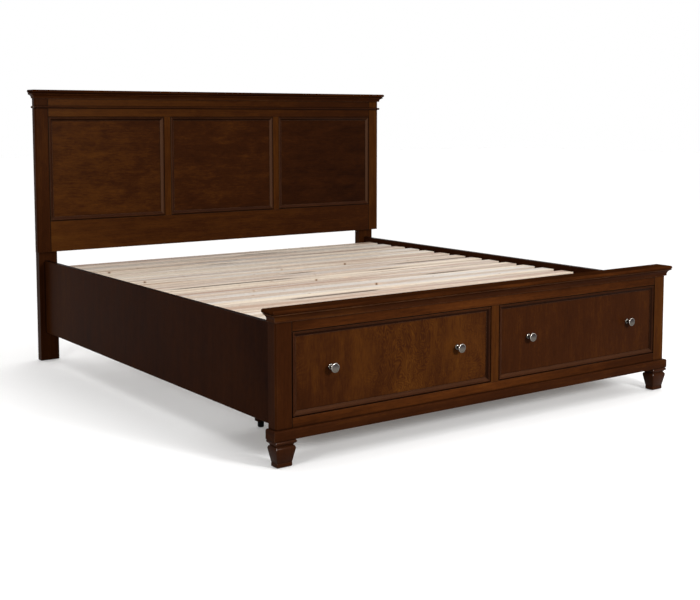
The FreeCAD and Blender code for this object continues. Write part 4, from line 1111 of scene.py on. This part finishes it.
def makeFloor():
    half = stage["floorSize"] / 2
    corners = [(-half, -half, 0), (half, -half, 0), (half, half, 0), (-half, half, 0)]
    mesh = bpy.data.meshes.new("floor")
    mesh.from_pydata(corners, [], [(0, 1, 2, 3)])
    graph = newMaterial("floorWhite")
    glow = stage["glow"]
    lit = graph.add("ShaderNodeBsdfDiffuse", None, {"Color": [1 - glow] * 3})
    shine = graph.add("ShaderNodeEmission", None, {"Color": [glow] * 3, "Strength": 1.0})
    shown = graph.add("ShaderNodeAddShader", None, {0: lit, 1: shine})
    hidden = graph.add("ShaderNodeBsdfDiffuse", None, {"Color": [stage["floorGrey"]] * 3})
    surface = graph.add("ShaderNodeMixShader", None, {0: whiteSeen(graph), 1: hidden, 2: shown})
    graph.add("ShaderNodeOutputMaterial", None, {"Surface": surface})
    mesh.materials.append(finishes["floorWhite"])
    floor = newObject("floor", mesh)


def makeWorld():
    world = bpy.data.worlds.new("studio")
    bpy.context.scene.world = world
    world.use_nodes = True
    graph = Graph(world.node_tree)
    direction = graph.add("ShaderNodeTexCoord", None, None, "Generated")
    facing = graph.vector("DOT_PRODUCT", direction, stage["towards"], output="Value")
    light = graph.between(facing, stage["dimUpTo"], 1.0, stage["dim"], stage["bright"])
    white = graph.add("ShaderNodeBackground", None, {"Color": (1.0, 1.0, 1.0), "Strength": 1.0})
    soft = graph.add("ShaderNodeBackground", None, {"Color": stage["daylight"], "Strength": light})
    surface = graph.add("ShaderNodeMixShader", None, {0: whiteSeen(graph), 1: soft, 2: white})
    graph.add("ShaderNodeOutputWorld", None, {"Surface": surface})


lamps = {
    "overhead": {
        "type": "SUN", "power": 2.10, "angle": 84.0,
        "from": (0.34, 0.42, 1.0), "at": (0.0, 0.0, 0.0),
    },
    "key": {
        "type": "AREA", "power": 124.0, "size": 0.9,
        "from": (0.35, -4.50, 1.80), "at": (0.1, -0.8, 0.35),
    },
    "fill": {
        "type": "AREA", "power": 75.0, "size": 1.0,
        "from": (-4.9, -2.6, 2.4), "at": (-0.6, 0.2, 0.6),
    },
}


def makeLamps():
    for name, lamp in lamps.items():
        data = bpy.data.lights.new(name, lamp["type"])
        data.energy = lamp["power"]
        thing = newObject(name, data)
        if lamp["type"] == "SUN":
            data.angle = math.radians(lamp["angle"])
        else:
            data.shape = "DISK"
            data.size = lamp["size"]
            thing.location = lamp["from"]
        away = np.array(lamp["from"]) - np.array(lamp["at"])
        flat = math.hypot(away[0], away[1])
        thing.rotation_euler = (math.atan2(flat, away[2]), 0, math.atan2(away[1], away[0]) + math.pi / 2)


# The camera was fitted to edges read from the photograph, for a frame of 700 by 600
view = {
    "place": (-3.0646, -4.3919, 1.2105), "azimuth": -35.69, "down": 5.10,
    "lens": 58.87, "sensor": 36.0, "shiftY": -0.1143,
}


def makeCamera():
    data = bpy.data.cameras.new("photoCamera")
    data.lens = view["lens"]
    data.sensor_width = view["sensor"]
    data.shift_y = view["shiftY"]
    camera = newObject("photoCamera", data)
    camera.location = view["place"]
    camera.rotation_euler = (math.radians(90 - view["down"]), 0, math.radians(view["azimuth"]))
    bpy.context.scene.camera = camera


makeFloor()
makeWorld()
makeLamps()
makeCamera()
bpy.context.scene.view_settings.view_transform = "Standard"
print("stage made")
